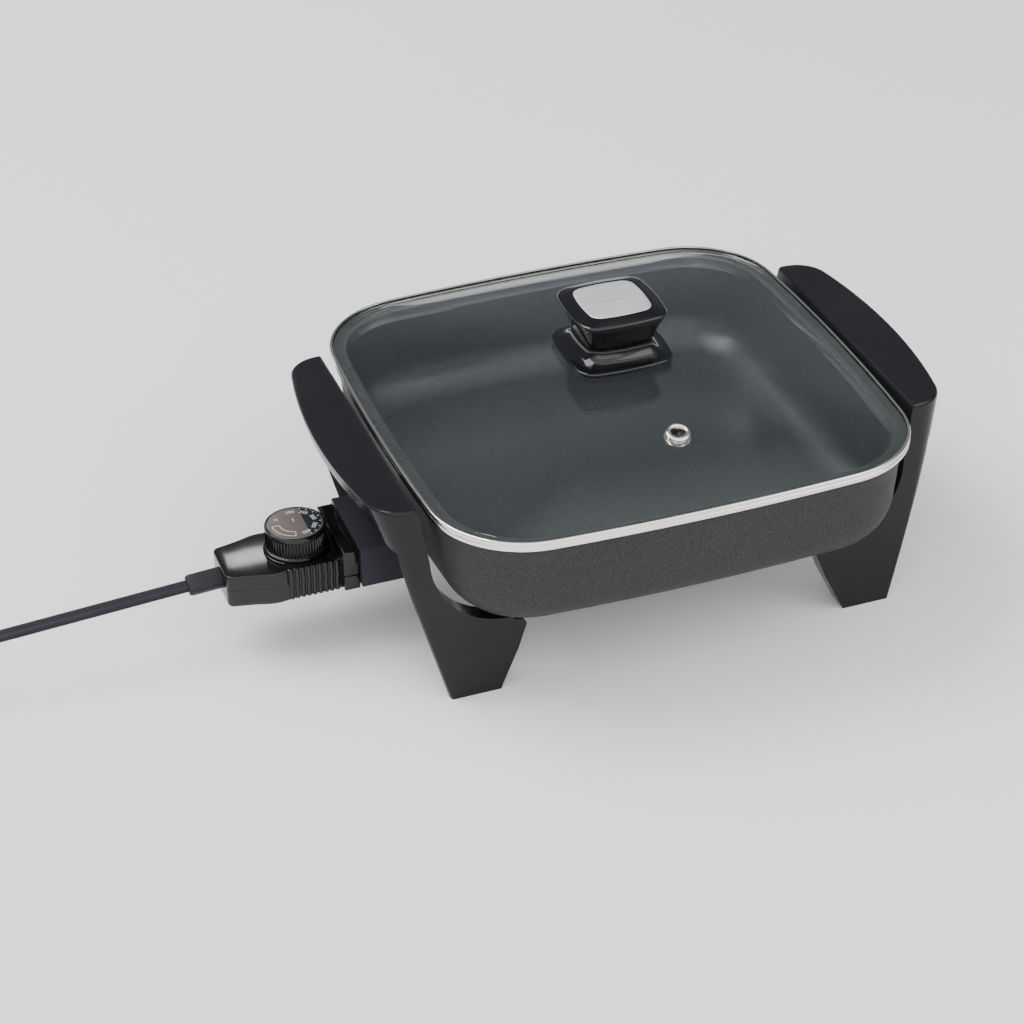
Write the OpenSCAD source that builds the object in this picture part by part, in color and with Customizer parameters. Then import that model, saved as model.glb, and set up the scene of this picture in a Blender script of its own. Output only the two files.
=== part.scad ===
// Electric skillet with a lift-off glass lid and a plug-in temperature control.
// Millimetres. +X runs from the control's side to the other handle, +Y to the back, +Z up.
// Every piece is drawn about the pan's centre, and in_frame() moves it to the object's own frame.

/* [Plan of pan and lid] */
// Overall width across the lid's steel band
lid_w = 310; // [280:1:340]
// Corner radius of that band, seen from above
corner_r = 60; // [54:1:70]
// Radius of the slightly bowed sides, seen from above
side_r = 1540; // [1000:20:3000]

/* [Pan] */
// Underside of the pan above the table
pan_clear = 60; // [54:1:75]
// Height of the pan from underside to rim
pan_h = 65.3; // [55:0.5:80]
// Thickness of the pan's walls
pan_wall = 3.2; // [2.5:0.1:4]
// Thickness of the pan's floor
floor_t = 4; // [3:0.5:6]
// Radius of the bottom edge
pan_edge_r = 30; // [22:1:32]
// Lean of the walls from upright, in degrees
pan_draft = 5; // [3:0.5:8]
// How far the rim's bead stands inside the lid band's outer face
bead_inset = 2.8; // [2:0.1:4]
// Height of the bead under the rim
bead_h = 4; // [3:0.5:6]

/* [Heating element] */
// Radius of the element's loop
loop_r = 85; // [75:1:90]
// Radius of the element's sheath
sheath_r = 4; // [3:0.25:4.5]
// Distance of each terminal from the middle
terminal_y = 16; // [15:0.5:18]
// Radius of each terminal pin
pin_r = 2.4; // [2:0.1:2.6]
// Axis of the probe and terminals below the pan's underside
probe_drop = 8; // [7:0.5:9]

/* [Handles and legs] */
// Reach of each handle beyond the lid band
handle_w = 37; // [32:0.5:60]
// Radius of the handle's bowed outer edge, seen from above
handle_bow_r = 400; // [350:10:600]
// Radius of the handle's corners, seen from above
end_r = 22; // [12:1:26]
// Gap between lid band and handle
handle_gap = 3.2; // [2:0.2:6]
// Height of the handle's top above the lid band's underside
handle_rise = 7.4; // [4:0.2:12]
// Depth of the handle's outer edge
apron_depth = 10.5; // [8:0.5:14]
// Depth of the handle's inner wall
grip_depth = 17; // [14:1:24]
// Distance of the legs' front and back plates inside the lid band, at the table
leg_set = 48; // [43:1:55]
// How much the front plates lean in for each millimetre of height
leg_lean = 0.079; // [0:0.005:0.1]
// Distance of each foot's outer corner inside the lid band
foot_set = 10; // [2:1:16]
// Length of each foot, along the skillet's width
foot_l = 31; // [26:1:36]
// Length of each leg's side walls, along the handle
leg_depth = 17; // [15:1:24]
// Wall of the moulded brackets
bracket_wall = 3; // [2.5:0.1:4]
// Radius of the cradle round the pan's bottom edge
cradle_r = 48; // [42:1:50]

/* [Lid] */
// Height of the steel band
band_h = 6; // [5:0.5:8]
// Gauge of the steel
band_t = 0.8; // [0.6:0.1:1]
// Width of the band's top flange
flange_w = 2; // [1.6:0.2:5]
// Depth of the locating skirt below the rim
skirt_h = 7; // [5:0.5:10]
// Thickness of the glass
glass_t = 3.8; // [3:0.1:4]
// Rise of the glass dome above the band
dome_h = 25; // [18:1:36]
// Distance of the steam vent in front of the centre
vent_y = 92.5; // [70:0.5:110]
// Distance of the steam vent to the right of the centre
vent_x = 5; // [0:0.5:10]
// Radius of the steam vent's hole
vent_r = 4.7; // [4:0.1:6]

/* [Knob] */
// Half-width of the knob's flared base
knob_base_w = 32.8; // [29:0.2:34]
// Half-width of the knob's waist
knob_waist_w = 21.6; // [18:0.2:24]
// Half-width of the knob's grip
knob_grip_w = 29.3; // [27:0.1:33]
// Half-width of the steel inlay
inlay_w = 20.8; // [17:0.2:23]
// Height of the knob's base
knob_base_h = 12; // [9:0.5:14]
// Height of the knob's grip
knob_grip_h = 22; // [18:0.5:26]

/* [Control] */
// Half-width of the terminal guard
guard_w = 31; // [30.5:0.5:34]
// Height of the terminal guard
guard_h = 27; // [26:0.5:30]
// Reach of the guard's mouth beyond the lid band
guard_out = 20.6; // [17:0.2:25]
// Length of the control, from the guard's mouth to its tail
control_l = 81; // [78:1:95]
// Height of the control's body
control_h = 21.5; // [20:0.5:24]
// Half-width of the control's shoulders
control_w = 24; // [23:0.5:26]
// Half-width of the control's tail
tail_w = 18; // [16:0.5:20]
// Radius of the dial
dial_r = 19; // [17:0.5:19.5]
// Height of the dial
dial_h = 16; // [13:0.5:20]
// Distance of the dial's axis from the guard's mouth
dial_x = 32; // [30:0.5:34]
// Radius of the temperature probe
probe_r = 3; // [2.5:0.25:3.5]
// Length of the probe beyond the guard's mouth
probe_l = 73; // [68:1:74]

/* [Cord] */
// Width of the flat cord
cord_w = 8; // [6.4:0.1:8.4]
// Thickness of the flat cord
cord_t = 4; // [3.2:0.1:4.4]

/* [Hidden] */

// Clearances, by kind of fit
seat_gap = 0.2;    // between pieces that are clamped or rest on each other
screw_gap = 0.3;   // round a screw's shank
running_gap = 0.08; // round a shaft that turns
slide_gap = 0.4;   // round what slides in and out
pilot_gap = 0.1;   // round a screw or shaft in the hole that holds it

half_w = lid_w / 2;

// Levels
rim_z = pan_clear + pan_h;
band_z = rim_z + seat_gap;
glass_edge_z = band_z + band_t + seat_gap;
glass_edge_top = glass_edge_z + glass_t;
seat_s = 0.22;                       // share of the lid's width where the dome levels off for the knob
dome_s = 0.965;                      // share of the lid's width where the dome starts to rise
dome_d = dome_s * half_w;
seat_z = glass_edge_top + dome_h * (1 - pow(seat_s / dome_s, 2));
probe_z = pan_clear - probe_drop;
handle_z = band_z + handle_rise;
grip_z = handle_z - grip_depth;

// Places along X and Y, from the lid band's half-width
handle_reach = half_w + handle_w;
foot_out = half_w - foot_set;
foot_in = foot_out - foot_l;
leg_y = half_w - leg_set;
guard_reach = half_w + guard_out;
guard_x = -guard_reach;
tail_x = guard_x - control_l;
pan_x = (-tail_x - handle_reach) / 2;   // the pan's centre in the object's frame

// Pan section, as insets from the lid band's outline
wall_inset = bead_inset + 2;
edge_z = pan_clear + pan_edge_r;
edge_inset = wall_inset + (rim_z - bead_h - edge_z) * tan(pan_draft);
inner_edge_r = pan_edge_r - floor_t;

// ---------- plan outlines ----------

// Distance of a bowed square's corner centres from its own centre
function corner_c(w, r, bow) = (sqrt(2 * pow(bow - r, 2) - pow(bow - w, 2)) - (bow - w)) / 2;

// Half-angle of each bowed side
function side_a(w, r, bow) = let (c = corner_c(w, r, bow)) atan2(c, c - w + bow);

// Points of an arc
function arc(x, y, r, from, to, n) =
    [for (i = [0:n]) let (a = from + (to - from) * i / n) [x + r * cos(a), y + r * sin(a)]];

// Outline of a bowed square with half-width w, drawn in by t: side_n steps a side, corner_n a corner
function pillow(w, r, bow, t = 0, side_n = 6, corner_n = 10) =
    let (c = corner_c(w, r, bow), a = side_a(w, r, bow))
    [for (q = [0:3])
        let (side = arc(w - bow, 0, bow - t, -a, a, side_n), corner = arc(c, c, r - t, a, 90 - a, corner_n))
        for (i = [0:side_n + corner_n - 1])
            let (p = i < side_n ? side[i] : corner[i - side_n])
            [p[0] * cos(90 * q) - p[1] * sin(90 * q), p[0] * sin(90 * q) + p[1] * cos(90 * q)]];

function at_height(outline, z, s = 1) = [for (p = outline) [p[0] * s, p[1] * s, z]];

// The lid band's outline drawn in by t, with true arcs
module lid_plan(t = 0) {
    c = corner_c(half_w, corner_r, side_r);
    a = side_a(half_w, corner_r, side_r);
    r = corner_r - t;
    intersection() {
        intersection_for (q = [0:3]) {
            rotate(90 * q) translate([half_w - side_r, 0]) circle(side_r - t, $fn = 720);
        }
        // cuts the corners off along the chords of their arcs
        polygon([for (q = [0:3]) for (e = [1, -1])
            let (x = c + r * (e > 0 ? cos(a) : sin(a)) + 5 * e,
                 y = c + r * (e > 0 ? sin(a) : cos(a)) - 5 * e)
            [x * cos(90 * q) - y * sin(90 * q), x * sin(90 * q) + y * cos(90 * q)]]);
    }
    for (q = [0:3]) {
        rotate(90 * q) translate([c, c]) circle(r, $fn = 96);
    }
}

// ---------- solids ----------

// Closed skin over a list of rings with equal counts of points
module loft(rings) {
    n = len(rings[0]);
    m = len(rings);
    sides = [for (k = [0:m - 2]) for (i = [0:n - 1])
        let (a = k * n + i, b = k * n + (i + 1) % n)
        each [[a, b + n, b], [a, a + n, b + n]]];
    polyhedron([for (ring = rings) each ring],
        concat(sides, [[for (i = [0:n - 1]) i]], [[for (i = [n - 1:-1:0]) (m - 1) * n + i]]));
}

function unit(v) = v / norm(v);

// Heading at each point of a path between its given end headings
function headings(path, first, last) = [for (i = [0:len(path) - 1])
    i == 0 ? first : i == len(path) - 1 ? last : unit(path[i + 1] - path[i - 1])];

// A section's points set square to heading d at point p
function ring_at(p, d, section) = let (across = unit(cross([0, 0, 1], d)), up = cross(d, across))
    [for (q = section) p + across * q[0] + up * q[1]];

module sweep(path, directions, section) {
    loft([for (i = [0:len(path) - 1]) ring_at(path[i], directions[i], section)]);
}

module rod(r, l) {
    cylinder(r = r, h = l, $fn = 48);
}

// Cylinder along +X from a point
module rod_x(x, y, z, r, l) {
    translate([x, y, z]) rotate([0, 90, 0]) rod(r, l);
}

module both_sides() {
    children();
    mirror([0, 1, 0]) children();
}

module in_frame() {
    translate([pan_x, 0, 0]) children();
}

// ---------- pan and element ----------

boss_r = 6.5;
pad_r = 7.5;                     // the bracket's pads under the pan's bosses
pad_t = 4.8;
slab_t = 3;                      // slabs that tie the pads to the leg plates
boss_x = foot_in - 2;
boss_y = leg_y - 15;
pad_z = pan_clear - 9.4;         // top of the bracket's pads
guard_boss_x = boss_x;
bush_r = 5;
guard_tab_in = terminal_y + bush_r + 0.6;   // the guard's tabs clear the terminals
guard_boss_y = (guard_tab_in + guard_w) / 2;
guard_tab_z = pan_clear - 3.5;   // top of the guard's tabs
guard_boss_r = 4.5;
well_end = half_w - 57;          // the pan end of the block that takes the probe
well_l = 24;

function pan_outer() = concat(
    [for (a = [90:-15:0]) [edge_inset + pan_edge_r * (1 - cos(a)), edge_z - pan_edge_r * sin(a)]],
    [[wall_inset, rim_z - bead_h], [bead_inset, rim_z - bead_h + 1], [bead_inset, rim_z - 1],
     [bead_inset + 1, rim_z]]);

function pan_inner() = concat(
    [[wall_inset + pan_wall - 1.5, rim_z], [wall_inset + pan_wall, rim_z - 2]],
    [for (a = [0:15:90])
        [edge_inset + pan_wall + inner_edge_r * (1 - cos(a)), edge_z - inner_edge_r * sin(a)]]);

module pan_shell() {
    loft([for (p = concat(pan_outer(), pan_inner()))
        at_height(pillow(half_w, corner_r, side_r, p[0]), p[1])]);
}

rib_w = 14;
groove_r = sheath_r + seat_gap;
loop_half_a = 160;

module element_rib() {
    rotate([0, 0, -loop_half_a]) rotate_extrude(angle = 2 * loop_half_a, $fn = 180) difference() {
        translate([loop_r - rib_w / 2, probe_z + 0.5]) square([rib_w, probe_drop + 1]);
        translate([loop_r, probe_z]) circle(groove_r, $fn = 48);
    }
}

module pan() {
    color("#3b3836") {
        difference() {
            union() {
                pan_shell();
                element_rib();
                translate([-well_end - well_l, -9, probe_z - 6]) cube([well_l, 18, probe_drop + 7]);
                for (x = [-boss_x, boss_x]) {
                    both_sides() translate([x, boss_y, pad_z + seat_gap]) rod(boss_r, pan_clear - pad_z + 1);
                }
                both_sides() translate([-guard_boss_x, guard_boss_y, guard_tab_z + seat_gap]) {
                    rod(guard_boss_r, pan_clear - guard_tab_z + 1);
                }
            }
            rod_x(-well_end - well_l - 1, 0, probe_z, probe_r + slide_gap, well_l - 2);
            for (x = [-boss_x, boss_x]) {
                both_sides() translate([x, boss_y, pad_z - 1]) {
                    rod(bracket_screw_r + pilot_gap, bracket_screw_l - pad_t - seat_gap + 2);
                }
            }
            both_sides() translate([-guard_boss_x, guard_boss_y, guard_tab_z - 1]) {
                rod(guard_screw_r + pilot_gap, guard_screw_l - guard_wall - seat_gap + 2);
            }
        }
    }
}

// The element's loop runs into two straight legs through S-bends; half of it is worked out
bend_r = terminal_y - 2;
bend_y = terminal_y + bend_r;
bend_x = sqrt(pow(loop_r + bend_r, 2) - pow(bend_y, 2));
bend_a = atan2(bend_y, bend_x);
element_end = half_w - 18;        // where the sheath stops and the pins stand out

function element_half() = concat(
    [for (a = [0:7.5:180 - bend_a]) [loop_r * cos(a), loop_r * sin(a)]],
    [for (k = [0:5]) let (a = -bend_a - (90 - bend_a) * k / 5)
        [-bend_x + bend_r * cos(a), bend_y + bend_r * sin(a)]],
    [[-element_end, terminal_y]]);

module heating_element() {
    half = element_half();
    n = len(half);
    path = concat([for (i = [n - 1:-1:0]) [half[i][0], half[i][1], probe_z]],
        [for (i = [1:n - 1]) [half[i][0], -half[i][1], probe_z]]);
    section = arc(0, 0, sheath_r, 30, 360, 11);
    color("#6d6a66") sweep(path, headings(path, [1, 0, 0], [-1, 0, 0]), section);
}

bush_l = 10;
bush_x = -element_end - seat_gap - bush_l;
pin_tip = guard_reach - 8;

module element_pins() {
    color("#b9a878") both_sides() {
        rod_x(-pin_tip, terminal_y, probe_z, pin_r, pin_tip - element_end - seat_gap);
    }
}

module pin_bushes() {
    color("#ece6da") both_sides() difference() {
        rod_x(bush_x, terminal_y, probe_z, bush_r, bush_l);
        rod_x(bush_x - 1, terminal_y, probe_z, pin_r + seat_gap, bush_l + 2);
    }
}

// ---------- terminal guard ----------

guard_wall = 2.5;
guard_top = pan_clear + 8;
guard_back = bush_x + 2;
guard_screw_r = 1.6;
guard_screw_l = 2.4 * guard_wall;

module box(x0, x1, half_y, z0, z1) {
    translate([x0, -half_y, z0]) cube([x1 - x0, 2 * half_y, z1 - z0]);
}

module terminal_guard() {
    z0 = guard_top - guard_h;
    color("#1d1e22") difference() {
        union() {
            box(guard_x, guard_back + guard_wall, guard_w, z0, guard_top);
            both_sides() translate([guard_back, guard_tab_in, guard_tab_z - guard_wall]) {
                cube([-guard_back - guard_boss_x + guard_boss_r + 1.5, guard_w - guard_tab_in, guard_wall]);
            }
        }
        box(guard_x - 1, guard_back, guard_w - guard_wall, z0 + guard_wall, guard_top - guard_wall);
        both_sides() rod_x(guard_back - 1, terminal_y, probe_z, bush_r + seat_gap, guard_wall + 2);
        rod_x(guard_back - 1, 0, probe_z, probe_r + 2, guard_wall + 2);
        both_sides() translate([-guard_boss_x, guard_boss_y, guard_tab_z - guard_wall - 1]) {
            rod(guard_screw_r + screw_gap, guard_wall + 2);
        }
    }
}

module screw(r, l, head_r, head_h) {
    rod(r, l);
    translate([0, 0, -head_h]) rod(head_r, head_h);
}

module guard_screws() {
    color("#a9abad") both_sides() {
        translate([-guard_boss_x, guard_boss_y, guard_tab_z - guard_wall - seat_gap]) {
            screw(guard_screw_r, guard_screw_l, 3, 1.8);
        }
    }
}

// ---------- handle brackets ----------

bow_axis = handle_reach - handle_bow_r;
foot_r = sqrt(pow(foot_out - bow_axis, 2) + pow(leg_y, 2));
foot_corner_r = 2;
handle_in = half_w + handle_gap;
handle_edge_r = 4;
cradle_x = half_w - cradle_r - 1.5;
cradle_z = pan_clear + cradle_r - 11.5;
toe_x = foot_in - 18.5;
toe_z = cradle_z - cradle_r - 5;
arch_r = 28;
apron_z = handle_z - apron_depth;
apron_flat = 48;       // half-length over which the apron's lower edge stays level
apron_fall = 17;       // how far that edge falls from there to the legs
apron_end = leg_y - leg_lean * (apron_z - apron_fall) - bracket_wall - 0.4;
bracket_screw_r = 1.9;
bracket_screw_l = 2.5 * pad_t;

// Outline of a handle and its legs at height z, drawn in by t: the bowed outer face turns into the
// front and back plates through corners that are wide at the handle's top and narrow at the table
function bracket_ring(z, t) =
    let (bow = foot_r + (handle_bow_r - foot_r) * z / handle_z - t,
         half = leg_y - leg_lean * z - t,
         r = max(foot_corner_r + (end_r - foot_corner_r) * pow(max(z, 0) / handle_z, 3) - t, 0.4),
         x = bow_axis + sqrt(pow(bow - r, 2) - pow(half - r, 2)),
         a = atan2(half - r, x - bow_axis),
         side = arc(bow_axis, 0, bow, -a, a, 18))
    [for (p = concat([[0, -half]], arc(x, r - half, r, -90, -a, 8), [for (i = [1:17]) side[i]],
                     arc(x, half - r, r, a, 90, 8), [[0, half]])) [p[0], p[1], z]];

// Everything within those outlines, with the handle's top edge rounded
module bracket_outside(t) {
    top = handle_z - t;
    soft = [[2.4, 0], [1.2, 0.35], [0.4, 1.1], [0, 2.2]];
    loft(concat([bracket_ring(-t, t)],
        [for (i = [1:6]) bracket_ring((top - soft[0][0]) * i / 7, t)],
        [for (p = soft) bracket_ring(top - p[0], t + p[1])]));
}

// Seen along Y: everything outside the pan's cradle, with the walls moved in by t
module bracket_front(t) {
    polygon(concat(
        [[handle_reach + 20, handle_z + 1]],
        [[handle_in + handle_edge_r + t, handle_z + 1]],
        arc(handle_in + handle_edge_r + t, handle_z - handle_edge_r - t, handle_edge_r, 90, 180, 6),
        arc(cradle_x, cradle_z, cradle_r + t, 0, -90, 18),
        [[toe_x + 8, toe_z + 3 - t], [toe_x + 2 + t, toe_z + 1.5 - t], [toe_x + t, toe_z - 1.5 - t],
         [toe_x + 6 + t, 0.6 * toe_z], [foot_in + t, 0], [foot_in + t, -1 - t],
         [handle_reach + 20, -1 - t]]));
}

module bracket_mass(t) {
    intersection() {
        bracket_outside(t);
        rotate([90, 0, 0]) linear_extrude(height = 2 * leg_y + 20, center = true) bracket_front(t);
    }
}

// Frees the inner wall between the legs
module arch() {
    half = leg_y - leg_depth;
    rotate([90, 0, 90]) linear_extrude(height = handle_reach + 20) {
        translate([-half, -10]) square([2 * half, grip_z - arch_r + 10]);
        translate([-half + arch_r, 0]) square([2 * (half - arch_r), grip_z]);
        for (s = [-1, 1]) {
            translate([s * (half - arch_r), grip_z - arch_r]) circle(arch_r, $fn = 96);
        }
    }
}

// Frees the outer face below its apron, down to the front and back plates
module under_apron() {
    edge = concat([[leg_y - bracket_wall - 0.4 + leg_lean, -1]],
        [for (i = [8:-1:0])
            [apron_flat + (apron_end - apron_flat) * i / 8, apron_z - apron_fall * pow(i / 8, 2)]]);
    intersection() {
        rotate([90, 0, 90]) linear_extrude(height = handle_reach + 20) {
            polygon(concat(edge, [for (i = [len(edge) - 1:-1:0]) [-edge[i][0], edge[i][1]]]));
        }
        rotate([90, 0, 0]) linear_extrude(height = 2 * leg_y, center = true) {
            polygon([[foot_in + foot_l / 2, -1], [foot_in + foot_l / 2, 0],
                     [cradle_x + cradle_r + 10, cradle_z], [handle_in + 11, handle_z],
                     [handle_reach + 10, handle_z], [handle_reach + 10, -1]]);
        }
    }
}

module bracket() {
    difference() {
        union() {
            difference() {
                bracket_mass(0);
                bracket_mass(bracket_wall);
                arch();
                under_apron();
            }
            both_sides() translate([boss_x, boss_y, pad_z - pad_t]) rod(pad_r, pad_t);
            both_sides() translate([boss_x - 6, boss_y, pad_z - pad_t]) {
                cube([18, leg_y - 5 - boss_y, slab_t]);
            }
        }
        both_sides() translate([boss_x, boss_y, pad_z - pad_t - 1]) {
            rod(bracket_screw_r + screw_gap, pad_t + 2);
        }
    }
}

module left_bracket() {
    color("#17171a") mirror([1, 0, 0]) bracket();
}

module right_bracket() {
    color("#17171a") bracket();
}

module bracket_screws(x) {
    color("#a9abad") both_sides() {
        translate([x, boss_y, pad_z - pad_t - seat_gap]) {
            screw(bracket_screw_r, bracket_screw_l, 4, 2.2);
        }
    }
}

module left_bracket_screws() {
    bracket_screws(-boss_x);
}

module right_bracket_screws() {
    bracket_screws(boss_x);
}

// ---------- lid ----------

function dome_z(s) = glass_edge_top + dome_h * (1 - pow(min(s, dome_s) / dome_s, 2));
function dome_slope(d) = 2 * dome_h * d / pow(dome_d, 2);

glass_s = [1 - (band_t + seat_gap) / half_w, dome_s, 0.93, 0.88, 0.82, 0.74, 0.64, 0.52, 0.38, seat_s];
vent_z = dome_z(vent_y / half_w);
vent_tilt = atan(dome_slope(vent_y));
grommet_r = vent_r + 1.2;
knob_hole_r = 3.6;

module at_vent() {
    translate([vent_x, -vent_y, vent_z]) rotate([vent_tilt, 0, 0]) children();
}

module lid_glass() {
    n = len(glass_s);
    plan = pillow(half_w, corner_r, side_r);
    color([0.75, 0.82, 0.8, 0.35]) difference() {
        loft(concat(
            [for (i = [n - 1:-1:0]) at_height(plan, dome_z(glass_s[i]) - glass_t, glass_s[i])],
            [for (i = [0:n - 1]) at_height(plan, dome_z(glass_s[i]), glass_s[i])]));
        translate([0, 0, seat_z - 20]) rod(knob_hole_r, 40);
        at_vent() translate([0, 0, -10]) rod(grommet_r + seat_gap, 20);
    }
}

skirt_inset = wall_inset + pan_wall + pan_draft / 5 + 1.5;

module lid_rim() {
    color("#d9d6cf") {
        translate([0, 0, band_z]) difference() {
            linear_extrude(height = band_h) lid_plan(0);
            translate([0, 0, band_t]) linear_extrude(height = band_h - 2 * band_t) lid_plan(band_t);
            translate([0, 0, band_t / 2]) linear_extrude(height = band_h) lid_plan(flange_w);
            translate([0, 0, -1]) linear_extrude(height = band_h) lid_plan(skirt_inset);
        }
        translate([0, 0, rim_z - skirt_h]) linear_extrude(height = skirt_h + seat_gap + band_t / 2) {
            difference() {
                lid_plan(skirt_inset);
                lid_plan(skirt_inset + band_t);
            }
        }
    }
}

module vent_grommet() {
    color("#c9c9c7") at_vent() rotate_extrude($fn = 72) {
        polygon([[vent_r, -glass_t - 1.6], [grommet_r + 2.2, -glass_t - 1.6],
                 [grommet_r + 2.2, -glass_t - 0.7], [grommet_r, -glass_t - 0.7], [grommet_r, 0.4],
                 [vent_r + 2.9, 0.4], [vent_r + 2.5, 1.5], [vent_r + 0.8, 1.8], [vent_r, 1]]);
    }
}

// ---------- knob ----------

knob_corner = 0.36;    // share of the knob's half-width that its corner radius takes
gasket_t = 1;
knob_z = seat_z + gasket_t + 2 * seat_gap;
grip_base_z = knob_z + knob_base_h + seat_gap;
grip_top_z = grip_base_z + knob_grip_h;
knob_screw_r = 2.5;
inlay_t = 1;
washer_r = 9;
washer_t = 1.2;

// Bowed square ring of half-width w
function knob_ring(w, z) = at_height(pillow(1, knob_corner, 5, 0, 4, 7), z, w);

module knob_plate(w, h) {
    linear_extrude(height = h) polygon(pillow(w, knob_corner * w, 5 * w, 0, 4, 7));
}

module knob_gasket() {
    color("#26262a") translate([0, 0, seat_z + seat_gap]) difference() {
        knob_plate(knob_base_w - 1.5, gasket_t);
        translate([0, 0, -1]) rod(knob_hole_r, gasket_t + 2);
    }
}

// The base's side is a hollow sweep from the foot to the waist
module knob_base() {
    foot_h = 2.6;
    w = knob_base_w;
    sweep_w = w - 0.6 - knob_waist_w;
    sweep_h = knob_base_h - foot_h;
    color("#0f0f11") difference() {
        loft(concat(
            [knob_ring(w - 1.2, knob_z), knob_ring(w, knob_z + 0.9), knob_ring(w, knob_z + foot_h - 0.5)],
            [for (a = [0:15:90])
                knob_ring(w - 0.6 - sweep_w * sin(a), knob_z + foot_h + sweep_h * (1 - cos(a)))]));
        translate([0, 0, knob_z - 1]) rod(knob_screw_r + screw_gap, knob_base_h + 2);
    }
}

module knob_grip() {
    w = knob_grip_w;
    h = knob_grip_h;
    color("#0f0f11") difference() {
        loft([for (p = [[knob_waist_w - 0.8, 0], [knob_waist_w + 0.6, 0.6], [w - 4.6, 0.4 * h],
                        [w - 1.2, 0.7 * h], [w, 0.8 * h], [w, 0.86 * h], [w - 0.9, 0.91 * h],
                        [w - 3.4, 0.955 * h], [inlay_w + 1.4, 0.99 * h], [inlay_w + 0.6, h]])
            knob_ring(p[0], grip_base_z + p[1])]);
        translate([0, 0, grip_top_z - inlay_t]) knob_plate(inlay_w + seat_gap, inlay_t + 1);
        translate([0, 0, grip_base_z - 1]) rod(knob_screw_r + pilot_gap, 0.6 * h);
    }
}

module knob_inlay() {
    color("#cfcfce") translate([0, 0, grip_top_z - inlay_t + pilot_gap]) knob_plate(inlay_w, inlay_t);
}

module knob_washer() {
    color("#8d8f91") translate([0, 0, seat_z - glass_t - washer_t - seat_gap]) difference() {
        rod(washer_r, washer_t);
        translate([0, 0, -1]) rod(knob_screw_r + screw_gap, washer_t + 2);
    }
}

module knob_screw() {
    z0 = seat_z - glass_t - washer_t - 2 * seat_gap;
    color("#b4b6b8") translate([0, 0, z0]) screw(knob_screw_r, grip_base_z + 8 - z0, 5, 3);
}

// ---------- control ----------

nose_front = guard_back - 2;
nose_w = guard_w - guard_wall - slide_gap - 0.6;
nose_top = guard_top - guard_wall - 1;
nose_bottom = guard_top - guard_h + guard_wall + 1;
flange_x = guard_x - slide_gap;    // face of the control's finger flange, just outside the guard
flange_l = 10;
flange_half = guard_w - 3;     // half-width of the finger flange
flange_top = guard_top - 1.5;
tongue_end = flange_x - flange_l - 7;
body_bottom = probe_z - 14.5;
body_top = body_bottom + control_h;
split_z = body_bottom + 0.52 * control_h;
shell_wall = 2;
dial_axis = guard_x - dial_x;
shoulder_x = dial_axis - 20.5;
spindle_r = 3;
control_screw_r = 1.6;
lens_l = 22;
lens_w = 2.8;
lens_t = 1.8;
lens_x = flange_x - 4.2;
lens_y = -lens_l - 0.6;
frame_t = 1.2;
blade_t = 0.8;
collar_h = 1.2;
rib_count = 9;
tail_r = 4;                        // corner radius of the control's tail
tail_screw_x = tail_x + 0.15 * control_l;
flange_screw_x = flange_x - 0.27 * control_l;
tongue_w = control_w - 5;          // half-width of the contact block's tongue inside the shells

// Plan of the control's body, drawn in by t
module control_plan(t = 0) {
    hull() {
        for (s = [-1, 1]) {
            translate([tail_x + tail_r, s * (tail_w - tail_r)]) circle(tail_r - t, $fn = 32);
            translate([shoulder_x, s * (control_w - 14)]) circle(14 - t, $fn = 48);
        }
    }
    hull() {
        for (s = [-1, 1]) {
            translate([shoulder_x, s * (control_w - 14)]) circle(14 - t, $fn = 48);
            translate([flange_x - flange_l, s * (control_w - 6)]) circle(4 - t, $fn = 32);
        }
    }
}

// Thumb grips on both sides of the dial: a pad with upright ribs that stands out to half-width w
module thumb_grips(z0, z1, w) {
    pitch = 3.6;
    x1 = flange_x - flange_l - 1;
    both_sides() {
        translate([x1 - pitch * rib_count - 1, control_w - 8, z0]) {
            cube([pitch * rib_count + 2, w - control_w + 7, z1 - z0]);
        }
        for (i = [0:rib_count - 1]) {
            translate([x1 - pitch * (i + 0.5) - 0.5, w - 1.4, z0]) cylinder(r = 1.4, h = z1 - z0, $fn = 24);
        }
    }
}

module control_lower_shell() {
    color("#141416") difference() {
        union() {
            translate([0, 0, body_bottom]) linear_extrude(height = split_z - body_bottom) control_plan();
            translate([0, 0, body_bottom - 1]) linear_extrude(height = 1.2) control_plan(1.2);
            box(flange_x - flange_l, flange_x, flange_half, body_bottom + 1, split_z);
            thumb_grips(body_bottom + 1, split_z, control_w + 0.6);
        }
        translate([0, 0, body_bottom + 1]) linear_extrude(height = control_h) control_plan(shell_wall);
        box(tongue_end - 1, flange_x + 1, tongue_w + seat_gap, nose_bottom - seat_gap, split_z + 1);
        for (p = screw_places) {
            translate([p[0], p[1], body_bottom - 3]) rod(control_screw_r + screw_gap, 6);
        }
        sleeve_block(seat_gap);
    }
}

screw_places = [for (s = [-1, 1]) each
    [[tail_screw_x, 0.56 * s * tail_w], [flange_screw_x, 0.67 * s * control_w]]];

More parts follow.
